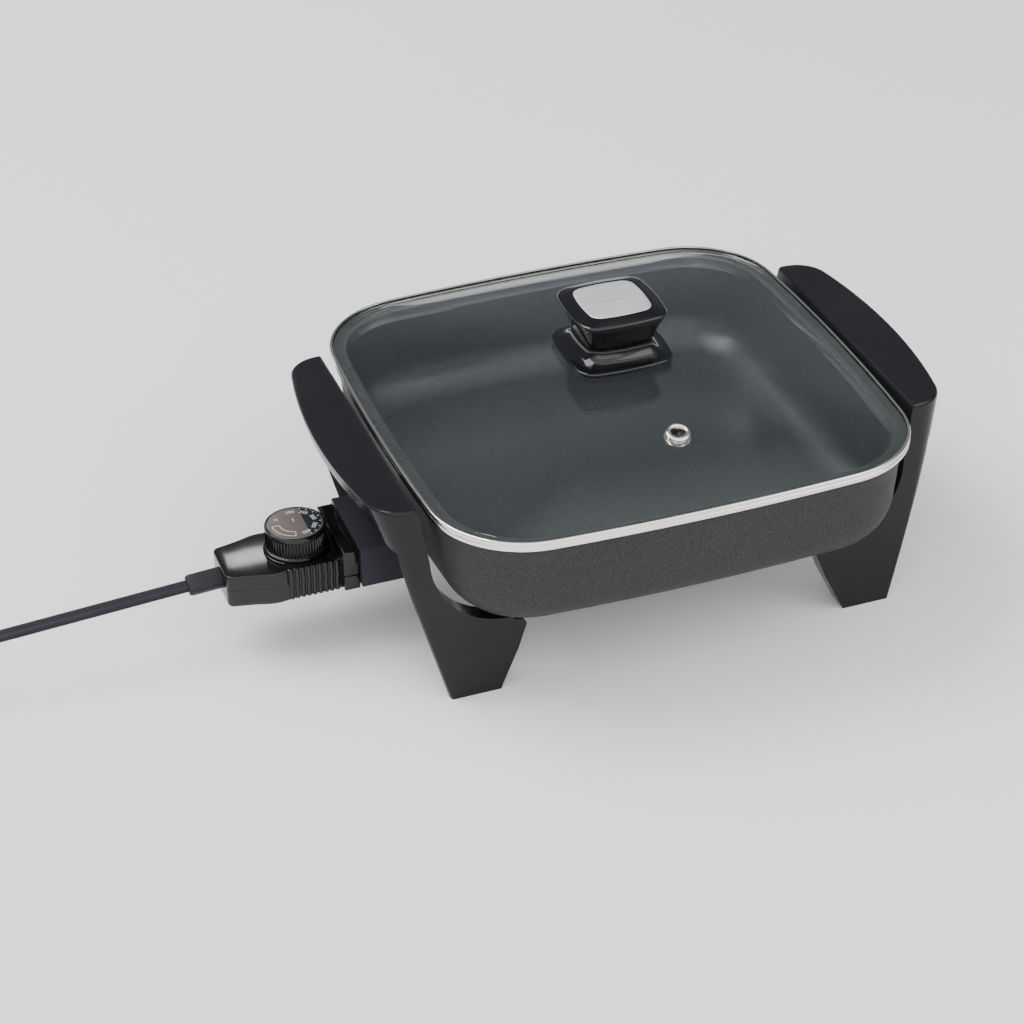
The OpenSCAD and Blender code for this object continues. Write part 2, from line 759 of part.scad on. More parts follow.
module control_upper_shell() {
    cap_h = 1.6;
    color("#141416") difference() {
        union() {
            translate([0, 0, split_z + seat_gap]) {
                linear_extrude(height = body_top - cap_h - split_z - seat_gap) control_plan();
            }
            translate([0, 0, body_top - cap_h]) linear_extrude(height = cap_h) control_plan(1);
            translate([dial_axis, 0, body_top - 1]) cylinder(r = dial_r + 1.6, h = collar_h + 1, $fn = 96);
            box(flange_x - flange_l, flange_x, flange_half, split_z + seat_gap, flange_top);
            thumb_grips(split_z + seat_gap, body_top + 1.5, control_w + 2);
        }
        difference() {
            translate([0, 0, split_z - 1]) {
                linear_extrude(height = body_top - shell_wall - split_z + 1) control_plan(shell_wall);
            }
            translate([dial_axis, 0, body_top - 5]) rod(spindle_r + 3, 6);
            for (p = screw_places) {
                translate([p[0], p[1], split_z + seat_gap]) rod(3, control_h);
            }
        }
        box(tongue_end - 1, flange_x + 1, tongue_w + seat_gap, split_z - 1, body_top - shell_wall);
        translate([dial_axis, 0, split_z]) rod(spindle_r + running_gap, control_h);
        for (p = screw_places) {
            translate([p[0], p[1], split_z - 2]) rod(control_screw_r + pilot_gap, 7);
        }
        translate([lens_x - seat_gap, lens_y - seat_gap, flange_top - lens_t - 1 - seat_gap]) {
            cube([lens_w + 2 * seat_gap, lens_l + 2 * seat_gap, lens_t + 3]);
        }
        sleeve_block(seat_gap);
    }
}

module contact_block() {
    color("#1b1b1e") difference() {
        union() {
            box(flange_x + seat_gap, nose_front, nose_w, nose_bottom, nose_top);
            box(tongue_end, flange_x + 1, tongue_w, nose_bottom, body_top - shell_wall - seat_gap);
        }
        both_sides() {
            rod_x(-pin_tip - 3, terminal_y, probe_z, sleeve_r + seat_gap, nose_front + pin_tip + 4);
        }
        rod_x(flange_x, 0, probe_z, probe_r + seat_gap, nose_front - flange_x + 1);
    }
}

sleeve_r = pin_r + 1.4;

module contact_sleeves() {
    color("#c2a14d") both_sides() difference() {
        rod_x(-pin_tip - 2.6, terminal_y, probe_z, sleeve_r, nose_front + pin_tip + 2);
        rod_x(-pin_tip - 1, terminal_y, probe_z, pin_r + screw_gap, nose_front + pin_tip + 2);
    }
}

module probe_rod() {
    color("#c4c6c8") {
        rod_x(flange_x + seat_gap, 0, probe_z, probe_r, probe_l - probe_r);
        translate([flange_x + seat_gap + probe_l - probe_r, 0, probe_z]) intersection() {
            sphere(probe_r, $fn = 48);
            translate([0, -10, -10]) cube(20);
        }
    }
}

blade_z = body_bottom + 6;
spindle_z = blade_z + blade_t + screw_gap;

module thermostat_frame() {
    color("#9a9c9e") {
        box(shoulder_x - 6, tongue_end - 1, 11,
            body_bottom + 1 + seat_gap, body_bottom + 1 + seat_gap + frame_t);
    }
}

module bimetal_blade() {
    color("#b38d4a") box(dial_axis - 6, tongue_end - 1, 4, blade_z, blade_z + blade_t);
}

module contact_arm() {
    color("#c58a55") {
        box(dial_axis - 14, tongue_end - 2, 3, blade_z - 1 - blade_t, blade_z - 1);
        box(dial_axis - 14, dial_axis - 8, 3, body_bottom + 1 + frame_t + 2 * seat_gap, blade_z - 1.4);
    }
}

module control_screws() {
    color("#a9abad") {
        for (p = screw_places) {
            translate([p[0], p[1], body_bottom - 1 - seat_gap]) {
                screw(control_screw_r, split_z - body_bottom + 5, 2.8, 1.4);
            }
        }
    }
}

module indicator_lens() {
    color("#2a1816") translate([lens_x, lens_y, flange_top - lens_t - 1]) cube([lens_w, lens_l, lens_t]);
}

// ---------- dial ----------

dial_z = body_top + collar_h + 0.5;
face_t = 0.5;          // the dial's face plate
face_r = dial_r - 1.8;

module control_dial() {
    teeth = 56;
    ribbed = [for (i = [0:4 * teeth - 1])
        let (a = 90 * i / teeth, r = dial_r - (i % 4 < 2 ? 0.2 : 0.9))
        [r * cos(a), r * sin(a)]];
    color("#151517") translate([dial_axis, 0, dial_z]) difference() {
        union() {
            cylinder(r = dial_r + 1, h = 1.5, $fn = 96);
            linear_extrude(height = dial_h - 2) polygon(ribbed);
            translate([0, 0, dial_h - 3]) cylinder(r = dial_r, h = 2, $fn = 96);
            translate([0, 0, dial_h - 1]) cylinder(r1 = dial_r, r2 = dial_r - 1, h = 1, $fn = 96);
        }
        translate([0, 0, dial_h - face_t - pilot_gap]) rod(face_r + seat_gap, 2);
        translate([0, 0, -1]) rod(spindle_r + pilot_gap, dial_h - 4);
    }
}

module dial_plate() {
    color("#6b625d") translate([dial_axis, 0, dial_z + dial_h - face_t]) rod(face_r, face_t);
}

module dial_spindle() {
    color("#b4b6b8") translate([dial_axis, 0, spindle_z]) rod(spindle_r, dial_z + dial_h - 6 - spindle_z);
}

// ---------- cord ----------

sleeve_tilt = 3.5;
sleeve_roll = 31;       // the flat cord leaves with its front edge turned down by this angle
sleeve_l = 20;
sleeve_w = cord_w + 5;
sleeve_t = cord_t + 2.6;
sleeve_in = 7;          // length held inside the shells
sleeve_z = probe_z - 3.2;
sleeve_dir = [-cos(sleeve_tilt), 0, -sin(sleeve_tilt)];
exit = [tail_x - 1, 0, sleeve_z] + sleeve_l * sleeve_dir;
tie_t = 0.8;
tie_gap = 0.4;
lie_z = tie_t + tie_gap + cord_t / 2;      // centre line of the cord where it lies on the table
turn_gap = 1.4;           // between the coil's layers
layer_h = cord_t + turn_gap;
coil_turns = 2;
coil_r = 46;
coil_pitch = cord_w + 1.2;
run_l = 117;              // straight length of cord beyond the sleeve
fall_l = 102;             // length over which it comes down to the table
coil_x = exit[0] - run_l - fall_l - 24;
coil_y = -coil_r;
loop_n = 24;
tail_l = 42;
plug_z = 7.7;

// Flat sleeve round the cord, wider than it is thick, grown by g
module sleeve_block(g) {
    translate([tail_x - 1, 0, sleeve_z]) rotate([0, -sleeve_tilt, 0]) rotate([sleeve_roll, 0, 0]) {
        translate([-sleeve_l, -sleeve_w / 2 - g, -sleeve_t / 2 - g]) {
            cube([sleeve_l + sleeve_in, sleeve_w + 2 * g, sleeve_t + 2 * g]);
        }
    }
}

module strain_relief() {
    color("#1c1c20") sleeve_block(0);
}

function smooth(t) = let (c = max(0, min(1, t))) c * c * (3 - 2 * c);

// Route of the free cord: straight on from the sleeve, then down to the table at the coil
run_end = exit + run_l * [-1, 0, -tan(sleeve_tilt)];
fall_n = 12;
function fall_point(t) = [run_end[0] - fall_l * t, 0, run_end[2] + (lie_z - run_end[2]) * smooth(t)
    - fall_l * tan(sleeve_tilt) * t * pow(1 - t, 2)];
route = concat([for (i = [0:5]) exit + (run_end - exit) * i / 6],
    [for (i = [0:fall_n]) fall_point(i / fall_n)], [[coil_x + 12, 0, lie_z], [coil_x, 0, lie_z]]);

// Cross-section of the flat cord, n points, turned by an angle from lying with its broad side up
function cord_section(n, turn = 0) = [for (i = [0:n - 1])
    let (a = 360 * i / n, u = sign(cos(a)) * pow(abs(cos(a)), 0.7) * cord_w / 2,
         v = sign(sin(a)) * pow(abs(sin(a)), 0.7) * cord_t / 2)
    [u * cos(turn) - v * sin(turn), u * sin(turn) + v * cos(turn)]];

module cord_run() {
    heading = headings(route, sleeve_dir, [-1, 0, 0]);
    color("#1b1b1f") loft([for (i = [0:len(route) - 1])
        ring_at(route[i], heading[i],
            cord_section(12, -sleeve_roll * (1 - smooth((run_end[0] - route[i][0]) / fall_l))))]);
}

// The coil spirals in on the table, climbs a layer while it turns back, and spirals out on top
function coil_a(u) = 90 + 360 * u;
function coil_point(u) = let (r = coil_r - coil_pitch * min(u, coil_turns - u))
    [coil_x + r * cos(coil_a(u)), coil_y + r * sin(coil_a(u)),
     lie_z + layer_h * smooth(2 * u - coil_turns + 0.5)];
coil_path = [for (i = [0:loop_n * coil_turns]) coil_point(i / loop_n)];
coil_headings = [for (i = [0:loop_n * coil_turns]) let (a = coil_a(i / loop_n)) [-sin(a), cos(a), 0]];
coil_end = coil_point(coil_turns);

module cord_coil() {
    color("#1b1b1f") sweep(coil_path, coil_headings, cord_section(6));
}

// Least gap between the coil's turns, on the points of its skin
coil_skin = [for (i = [0:loop_n * coil_turns]) ring_at(coil_path[i], coil_headings[i], cord_section(12))];
coil_gap = min([for (i = [0:loop_n]) for (j = [i + loop_n / 2:loop_n * coil_turns])
    for (p = coil_skin[i]) for (q = coil_skin[j]) norm(p - q)]);
echo(least_gap_between_turns = coil_gap);

module cord_tail() {
    path = [for (x = [0, 14, 28, tail_l])
        [coil_x - x, 0, coil_end[2] + (plug_z - coil_end[2]) * smooth(x / tail_l)]];
    color("#1b1b1f") sweep(path, [for (p = path) [-1, 0, 0]], cord_section(12));
}

// Strap round both layers of the coil
module cord_tie() {
    half = cord_w / 2 + 2 * tie_gap;
    top = lie_z + layer_h + cord_t / 2 + tie_gap;
    y = coil_y - coil_r + coil_pitch / 2;
    color("#2a2a2e") translate([coil_x, y, 0]) difference() {
        box(-3, 3, half + tie_t, 0, top + tie_t);
        box(-4, 4, half, tie_t, top);
    }
}

plug_x = coil_x - tail_l;
neck_l = 14;
plug_l = 28;
plug_w = 23;
plug_t = 15;
blade_gap = 12.7;
blade_l = 17.5;
blade_w = 6.3;
blade_thick = 1.5;

module plug_body() {
    color("#1c1c20") translate([plug_x, 0, plug_z]) {
        rotate([0, -90, 0]) {
            cylinder(r1 = 4.6, r2 = 6.4, h = neck_l, $fn = 48);
            for (z = [3:4:11]) {
                translate([0, 0, z]) cylinder(r = 6.6, h = 1.8, $fn = 48);
            }
        }
        intersection() {
            box(-neck_l - plug_l, -neck_l + 1, plug_w / 2, -plug_t / 2, plug_t / 2);
            translate([-neck_l - plug_l, 0, -plug_t]) cylinder(r = plug_l + 1, h = 2 * plug_t, $fn = 96);
        }
    }
}

module plug_blades() {
    x0 = plug_x - neck_l - plug_l - blade_l;
    color("#c8b27a") translate([x0, 0, plug_z]) both_sides() difference() {
        translate([0, (blade_gap - blade_thick) / 2, -blade_w / 2]) cube([blade_l, blade_thick, blade_w]);
        translate([4, blade_gap / 2 - 2, 0]) rotate([-90, 0, 0]) rod(1.6, 4);
    }
}

in_frame() pan();
in_frame() heating_element();
in_frame() element_pins();
in_frame() pin_bushes();
in_frame() terminal_guard();
in_frame() guard_screws();
in_frame() left_bracket();
in_frame() right_bracket();
in_frame() left_bracket_screws();
in_frame() right_bracket_screws();
in_frame() lid_glass();
in_frame() lid_rim();
in_frame() vent_grommet();
in_frame() knob_gasket();
in_frame() knob_base();
in_frame() knob_grip();
in_frame() knob_inlay();
in_frame() knob_washer();
in_frame() knob_screw();
in_frame() control_lower_shell();
in_frame() control_upper_shell();
in_frame() contact_block();
in_frame() contact_sleeves();
in_frame() probe_rod();
in_frame() thermostat_frame();
in_frame() bimetal_blade();
in_frame() contact_arm();
in_frame() control_screws();
in_frame() indicator_lens();
in_frame() control_dial();
in_frame() dial_plate();
in_frame() dial_spindle();
in_frame() strain_relief();
in_frame() cord_run();
in_frame() cord_coil();
in_frame() cord_tail();
in_frame() cord_tie();
in_frame() plug_body();
in_frame() plug_blades();
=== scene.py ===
# %% [markdown]
# # An electric skillet, piece by piece
#
# The finished model is a square nonstick pan on two black mouldings that are handles and legs in one.
# A glass lid with a steel band and a glossy knob covers it, and a control with a ribbed dial plugs into
# its left side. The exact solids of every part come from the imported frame. This file dresses them: each
# cell says what a piece is on the real skillet, then models it with Blender's own tools.

# %% Load the frame
import math
import bmesh
import bpy
from mathutils import Matrix, Vector


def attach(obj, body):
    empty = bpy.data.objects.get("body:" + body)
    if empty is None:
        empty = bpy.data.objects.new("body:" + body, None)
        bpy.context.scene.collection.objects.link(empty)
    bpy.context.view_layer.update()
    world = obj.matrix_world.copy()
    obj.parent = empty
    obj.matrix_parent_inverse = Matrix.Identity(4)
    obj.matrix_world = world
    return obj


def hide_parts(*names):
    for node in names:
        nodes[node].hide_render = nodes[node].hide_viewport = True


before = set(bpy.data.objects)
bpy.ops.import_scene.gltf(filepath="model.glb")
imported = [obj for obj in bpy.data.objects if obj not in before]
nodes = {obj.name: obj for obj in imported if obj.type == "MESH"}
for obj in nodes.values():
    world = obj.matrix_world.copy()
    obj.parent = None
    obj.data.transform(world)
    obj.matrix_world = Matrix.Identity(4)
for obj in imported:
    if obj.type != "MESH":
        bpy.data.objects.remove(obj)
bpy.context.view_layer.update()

# %% [markdown]
# ## Where things are
#
# Sizes below are in millimetres about the pan's centre, because that is how a skillet is drawn. The
# frame's own middle lies a little to the left of it, since the control sticks out on that side. One
# function turns a place into metres in the frame.

# %% Places
MM = 0.001
PAN_X = 32.3
LEFT, RIGHT = -1, 1


def place(x, y, z):
    """A point about the pan's centre, in millimetres, as metres in the frame."""
    return Vector(((x + PAN_X) * MM, y * MM, z * MM))


# %% [markdown]
# ## The camera
#
# The picture is taken from a little above and to the left, with a long lens, so parallel edges hardly
# meet. The camera is set by its direction, its distance and the point in the middle of the picture, and
# then rolled by about a degree.

# %% Camera
VIEW_AZIMUTH, VIEW_ELEVATION, VIEW_ROLL = -19.5, 33.43, -1.1
VIEW_DISTANCE = 1662.7
VIEW_TARGET = place(-73.97, -19.57, 64.32)
LENS, SENSOR = 94.25, 36.0


def add_camera():
    a, e, r = (math.radians(v) for v in (VIEW_AZIMUTH, VIEW_ELEVATION, VIEW_ROLL))
    back = Vector((math.sin(a) * math.cos(e), -math.cos(a) * math.cos(e), math.sin(e)))
    level = Vector((0, 0, 1)).cross(back).normalized()
    upright = back.cross(level)
    right = level * math.cos(r) + upright * math.sin(r)
    up = upright * math.cos(r) - level * math.sin(r)
    bpy.ops.object.camera_add(location=VIEW_TARGET + back * VIEW_DISTANCE * MM)
    camera = bpy.context.object
    camera.name = "camera"
    camera.rotation_euler = Matrix((right, up, back)).transposed().to_euler()
    camera.data.lens = LENS
    camera.data.sensor_width = SENSOR
    camera.data.clip_end = 50
    bpy.context.scene.camera = camera
    return camera


camera = add_camera()
print("camera at", [round(v, 3) for v in camera.location])

# %% [markdown]
# ## Working with selections
#
# An operator acts on all that is selected. These helpers select one object, or the parts of a mesh that
# pass a test, before each operator runs. `finish_piece` gives a finished piece its materials, ties it to
# its body in the frame and hides the solids that it stands for.

# %% Selection helpers


def choose(*things):
    if bpy.context.object is not None and bpy.context.object.mode != "OBJECT":
        bpy.ops.object.mode_set(mode="OBJECT")
    bpy.ops.object.select_all(action="DESELECT")
    for thing in things:
        thing.select_set(True)
    bpy.context.view_layer.objects.active = things[-1]


def edit(thing):
    choose(thing)
    bpy.ops.object.mode_set(mode="EDIT")
    return bmesh.from_edit_mesh(thing.data)


def leave_edit():
    bpy.ops.object.mode_set(mode="OBJECT")


def select_verts(thing, test):
    """Selects the vertices that pass the test, and the edges and faces between them."""
    mesh = bmesh.from_edit_mesh(thing.data)
    bpy.ops.mesh.select_mode(type="VERT")
    for v in mesh.verts:
        v.select = bool(test(v))
    mesh.select_flush_mode()
    bmesh.update_edit_mesh(thing.data)
    return sum(v.select for v in mesh.verts)


def apply_modifier(thing, kind, **settings):
    choose(thing)
    modifier = thing.modifiers.new(kind.lower(), kind)
    for key, value in settings.items():
        setattr(modifier, key, value)
    bpy.ops.object.modifier_apply(modifier=modifier.name)


def smooth(thing, angle=35):
    choose(thing)
    bpy.ops.object.shade_smooth_by_angle(angle=math.radians(angle))


def outward(thing):
    edit(thing)
    bpy.ops.mesh.select_all(action="SELECT")
    bpy.ops.mesh.normals_make_consistent(inside=False)
    leave_edit()


def settle(thing):
    """Puts the place, turn and size of an object into its mesh."""
    choose(thing)
    bpy.ops.object.transform_apply(location=True, rotation=True, scale=True)


def join(name, things):
    choose(*things)
    if len(things) > 1:
        bpy.ops.object.join()
    bpy.context.object.name = name
    return bpy.context.object


def finish_piece(piece, body, materials, stands_for=()):
    piece.data.materials.clear()
    for material in materials:
        piece.data.materials.append(material)
    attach(piece, body)
    if stands_for:
        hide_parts(*stands_for)
    print(piece.name, "has", len(piece.data.polygons), "faces")
    return piece


# %% [markdown]
# ## Shared finishes
#
# Real surfaces are never one flat colour. Five small shader groups are built once and then used with
# other values in each material: slow drift between two tones, uneven gloss, the fine grain of a mould,
# bright metal flecks, and brushed lines. Each group puts out only a colour, a value or a height. The
# shader itself stays in the material.

# %% Shader groups


def new_group(name, inputs, outputs):
    tree = bpy.data.node_groups.new(name, "ShaderNodeTree")
    for label, kind, value in inputs:
        socket = tree.interface.new_socket(label, in_out="INPUT", socket_type=kind)
        if value is not None:
            socket.default_value = value
    for label, kind in outputs:
        tree.interface.new_socket(label, in_out="OUTPUT", socket_type=kind)
    return tree, tree.nodes.new("NodeGroupInput"), tree.nodes.new("NodeGroupOutput")


def noise_in(tree, vector, scale, detail):
    node = tree.nodes.new("ShaderNodeTexNoise")
    node.inputs["Detail"].default_value = detail
    tree.links.new(vector, node.inputs["Vector"])
    tree.links.new(scale, node.inputs["Scale"])
    return node.outputs["Fac"]


def ranged(tree, value, low, high, to_low=0.0, to_high=1.0):
    node = tree.nodes.new("ShaderNodeMapRange")
    node.inputs["From Min"].default_value = low
    node.inputs["From Max"].default_value = high
    for key, target in (("To Min", to_low), ("To Max", to_high)):
        if isinstance(target, float):
            node.inputs[key].default_value = target
        else:
            tree.links.new(target, node.inputs[key])
    tree.links.new(value, node.inputs["Value"])
    return node.outputs["Result"]


def tone_drift_group():
    tree, start, end = new_group(
        "tone_drift",
        [("Vector", "NodeSocketVector", None), ("Scale", "NodeSocketFloat", 20.0),
         ("Tone A", "NodeSocketColor", None), ("Tone B", "NodeSocketColor", None)],
        [("Color", "NodeSocketColor")])
    drift = ranged(tree, noise_in(tree, start.outputs["Vector"], start.outputs["Scale"], 4.0), 0.35, 0.65)
    mix = tree.nodes.new("ShaderNodeMix")
    mix.data_type = "RGBA"
    tree.links.new(drift, mix.inputs[0])
    tree.links.new(start.outputs["Tone A"], mix.inputs[6])
    tree.links.new(start.outputs["Tone B"], mix.inputs[7])
    tree.links.new(mix.outputs[2], end.inputs["Color"])
    return tree


def uneven_gloss_group():
    tree, start, end = new_group(
        "uneven_gloss",
        [("Vector", "NodeSocketVector", None), ("Scale", "NodeSocketFloat", 30.0),
         ("Low", "NodeSocketFloat", 0.2), ("High", "NodeSocketFloat", 0.4)],
        [("Roughness", "NodeSocketFloat")])
    noise = noise_in(tree, start.outputs["Vector"], start.outputs["Scale"], 5.0)
    gloss = ranged(tree, noise, 0.3, 0.7, start.outputs["Low"], start.outputs["High"])
    tree.links.new(gloss, end.inputs["Roughness"])
    return tree


def mould_grain_group():
    tree, start, end = new_group(
        "mould_grain",
        [("Vector", "NodeSocketVector", None), ("Scale", "NodeSocketFloat", 900.0)],
        [("Height", "NodeSocketFloat")])
    noise = noise_in(tree, start.outputs["Vector"], start.outputs["Scale"], 2.0)
    tree.links.new(noise, end.inputs["Height"])
    return tree


def metal_flecks_group():
    tree, start, end = new_group(
        "metal_flecks",
        [("Vector", "NodeSocketVector", None), ("Scale", "NodeSocketFloat", 900.0),
         ("Share", "NodeSocketFloat", 0.2)],
        [("Mask", "NodeSocketFloat")])
    cells = tree.nodes.new("ShaderNodeTexVoronoi")
    tree.links.new(start.outputs["Vector"], cells.inputs["Vector"])
    tree.links.new(start.outputs["Scale"], cells.inputs["Scale"])
    parts = tree.nodes.new("ShaderNodeSeparateColor")
    tree.links.new(cells.outputs["Color"], parts.inputs["Color"])
    less = tree.nodes.new("ShaderNodeMath")
    less.operation = "LESS_THAN"
    tree.links.new(parts.outputs["Red"], less.inputs[0])
    tree.links.new(start.outputs["Share"], less.inputs[1])
    tree.links.new(less.outputs["Value"], end.inputs["Mask"])
    return tree


def brushed_lines_group():
    tree, start, end = new_group(
        "brushed_lines",
        [("Vector", "NodeSocketVector", None), ("Fineness", "NodeSocketVector", (20, 1500, 1500))],
        [("Tone", "NodeSocketFloat"), ("Height", "NodeSocketFloat")])
    stretch = tree.nodes.new("ShaderNodeVectorMath")
    stretch.operation = "MULTIPLY"
    tree.links.new(start.outputs["Vector"], stretch.inputs[0])
    tree.links.new(start.outputs["Fineness"], stretch.inputs[1])
    noise = tree.nodes.new("ShaderNodeTexNoise")
    noise.inputs["Scale"].default_value = 1.0
    noise.inputs["Detail"].default_value = 3.0
    tree.links.new(stretch.outputs["Vector"], noise.inputs["Vector"])
    tree.links.new(ranged(tree, noise.outputs["Fac"], 0.3, 0.7), end.inputs["Tone"])
    tree.links.new(noise.outputs["Fac"], end.inputs["Height"])
    return tree


TONE_DRIFT = tone_drift_group()
UNEVEN_GLOSS = uneven_gloss_group()
MOULD_GRAIN = mould_grain_group()
METAL_FLECKS = metal_flecks_group()
BRUSHED_LINES = brushed_lines_group()
print("shader groups:", [tree.name for tree in bpy.data.node_groups])

# %% [markdown]
# ## Materials
#
# Every material starts the same way: two close tones that drift into each other, gloss that is not quite
# even, and a faint grain. Object coordinates carry the patterns, so they stay put when a part moves.

# %% Material builder


def group_node(mat, tree, vector=None, **values):
    node = mat.node_tree.nodes.new("ShaderNodeGroup")
    node.node_tree = tree
    for key, value in values.items():
        node.inputs[key.replace("_", " ")].default_value = value
    if vector is not None:
        mat.node_tree.links.new(vector, node.inputs["Vector"])
    return node


def make_material(name, tones, gloss, metallic=0.0, grain=(900.0, 0.02), drift=20.0, gloss_scale=30.0,
                  **shader_values):
    """Two tones, a range of roughness, and a grain of a scale and a depth in millimetres."""
    mat = bpy.data.materials.new(name)
    mat.use_nodes = True
    tree, shader = mat.node_tree, mat.node_tree.nodes["Principled BSDF"]
    where = tree.nodes.new("ShaderNodeTexCoord").outputs["Object"]
    tone = group_node(mat, TONE_DRIFT, where, Scale=drift, Tone_A=(*tones[0], 1), Tone_B=(*tones[1], 1))
    tree.links.new(tone.outputs["Color"], shader.inputs["Base Color"])
    uneven = group_node(mat, UNEVEN_GLOSS, where, Scale=gloss_scale, Low=gloss[0], High=gloss[1])
    tree.links.new(uneven.outputs["Roughness"], shader.inputs["Roughness"])
    shader.inputs["Metallic"].default_value = metallic
    for key, value in shader_values.items():
        shader.inputs[key.replace("_", " ")].default_value = value
    if grain is not None:
        fine = group_node(mat, MOULD_GRAIN, where, Scale=grain[0])
        bump = tree.nodes.new("ShaderNodeBump")
        bump.inputs["Strength"].default_value = 0.6
        bump.inputs["Distance"].default_value = grain[1] * MM
        tree.links.new(fine.outputs["Height"], bump.inputs["Height"])
        tree.links.new(bump.outputs["Normal"], shader.inputs["Normal"])
    return mat


def add_flecks(mat, tone, scale, share):
    """Bright flecks of metal in a coating: they change its colour and how metallic it is."""
    tree, shader = mat.node_tree, mat.node_tree.nodes["Principled BSDF"]
    where = tree.nodes.new("ShaderNodeTexCoord").outputs["Object"]
    flecks = group_node(mat, METAL_FLECKS, where, Scale=scale, Share=share)
    base = shader.inputs["Base Color"].links[0].from_socket
    mix = tree.nodes.new("ShaderNodeMix")
    mix.data_type = "RGBA"
    tree.links.new(flecks.outputs["Mask"], mix.inputs[0])
    tree.links.new(base, mix.inputs[6])
    mix.inputs[7].default_value = (*tone, 1)
    tree.links.new(mix.outputs[2], shader.inputs["Base Color"])
    return mat


def add_brushing(mat, fineness, dark, depth):
    """Fine parallel lines along one axis, in tone and in height."""
    tree, shader = mat.node_tree, mat.node_tree.nodes["Principled BSDF"]
    where = tree.nodes.new("ShaderNodeTexCoord").outputs["Object"]
    lines = group_node(mat, BRUSHED_LINES, where, Fineness=fineness)
    base = shader.inputs["Base Color"].links[0].from_socket
    mix = tree.nodes.new("ShaderNodeMix")
    mix.data_type = "RGBA"
    tree.links.new(lines.outputs["Tone"], mix.inputs[0])
    mix.inputs[6].default_value = (*dark, 1)
    tree.links.new(base, mix.inputs[7])
    tree.links.new(mix.outputs[2], shader.inputs["Base Color"])
    bump = tree.nodes.new("ShaderNodeBump")
    bump.inputs["Strength"].default_value = 0.5
    bump.inputs["Distance"].default_value = depth * MM
    tree.links.new(lines.outputs["Height"], bump.inputs["Height"])
    tree.links.new(bump.outputs["Normal"], shader.inputs["Normal"])
    return mat


# %% [markdown]
# The black parts are four different blacks: satin phenolic on the handles, a mirror finish on the knob
# and the control, matte plastic on the terminal guard and soft vinyl on the cord. The pan's coating is
# a dark paint with metal flecks, browner outside than inside.

# %% Plastics and coatings
handle_black = make_material("handle_phenolic", [(0.009, 0.0088, 0.0105), (0.011, 0.0107, 0.0125)], (0.18, 0.24),
                             grain=(1400.0, 0.004), Specular_IOR_Level=0.25)
knob_black = make_material("knob_gloss", [(0.004, 0.004, 0.005), (0.006, 0.006, 0.007)], (0.05, 0.09), grain=None)
control_black = make_material("control_gloss", [(0.005, 0.0047, 0.0055), (0.007, 0.0065, 0.0075)], (0.07, 0.12),
                              grain=(1200.0, 0.003), Specular_IOR_Level=0.4)
guard_black = make_material("guard_matte", [(0.026, 0.0252, 0.033), (0.030, 0.029, 0.038)], (0.26, 0.34),
                            grain=(1600.0, 0.02), Specular_IOR_Level=0.15)
cord_black = make_material("cord_vinyl", [(0.012, 0.011, 0.016), (0.017, 0.015, 0.021)], (0.38, 0.5),
                           grain=(700.0, 0.02), drift=60.0, Specular_IOR_Level=0.2)
block_black = make_material("block_phenolic", [(0.016, 0.0155, 0.016), (0.021, 0.02, 0.021)], (0.4, 0.5))
rubber_black = make_material("gasket_rubber", [(0.014, 0.014, 0.015), (0.02, 0.02, 0.021)], (0.6, 0.75))
ceramic_white = make_material("bush_ceramic", [(0.72, 0.69, 0.63), (0.66, 0.62, 0.55)], (0.6, 0.75),
                              grain=(500.0, 0.05))
lens_dark = make_material("lens_dark", [(0.010, 0.005, 0.005), (0.014, 0.006, 0.006)], (0.12, 0.18), grain=None)
pan_outside = add_flecks(
    make_material("pan_coating_outside", [(0.032, 0.029, 0.0305), (0.036, 0.0325, 0.034)], (0.52, 0.60),
                  grain=(2600.0, 0.012), drift=9.0, Specular_IOR_Level=0.1),
    (0.075, 0.069, 0.07), 3400.0, 0.12)
pan_inside = add_flecks(
    make_material("pan_coating_inside", [(0.015, 0.0152, 0.0178), (0.0182, 0.0187, 0.0215)], (0.29, 0.35),
                  grain=(2200.0, 0.010), metallic=0.3, drift=9.0, Specular_IOR_Level=0.6),
    (0.065, 0.067, 0.075), 3000.0, 0.14)

# %% [markdown]
# Steel is nearly white and fully metallic, and what makes it steel is what it mirrors. The band is
# polished, the inlay of the knob is brushed along the skillet's length, and screws and contacts are dull.

# %% Metals
# Painted shade: the band's shelf gets a much darker steel that stands for the shade under the glass.
shelf_painted_shade_steel = make_material("shelf_painted_shade_steel", [(0.085, 0.093, 0.088), (0.07, 0.077, 0.073)], (0.25, 0.35), metallic=0.8)
band_steel = make_material("band_steel", [(0.86, 0.84, 0.80), (0.82, 0.80, 0.76)], (0.10, 0.16), metallic=1.0,
                           grain=(600.0, 0.004))
inlay_steel = add_brushing(
    make_material("inlay_brushed", [(0.80, 0.80, 0.82), (0.76, 0.76, 0.78)], (0.34, 0.42), metallic=0.5,
                  grain=None),
    (22.0, 900.0, 900.0), (0.55, 0.55, 0.57), 0.02)
screw_steel = make_material("screw_steel", [(0.62, 0.62, 0.61), (0.52, 0.52, 0.52)], (0.3, 0.4), metallic=1.0)
brass = make_material("contact_brass", [(0.72, 0.58, 0.33), (0.62, 0.49, 0.28)], (0.28, 0.4), metallic=1.0)
sheath_steel = make_material("element_sheath", [(0.30, 0.285, 0.27), (0.22, 0.21, 0.2)], (0.42, 0.55),
                             metallic=0.9, grain=(300.0, 0.05))


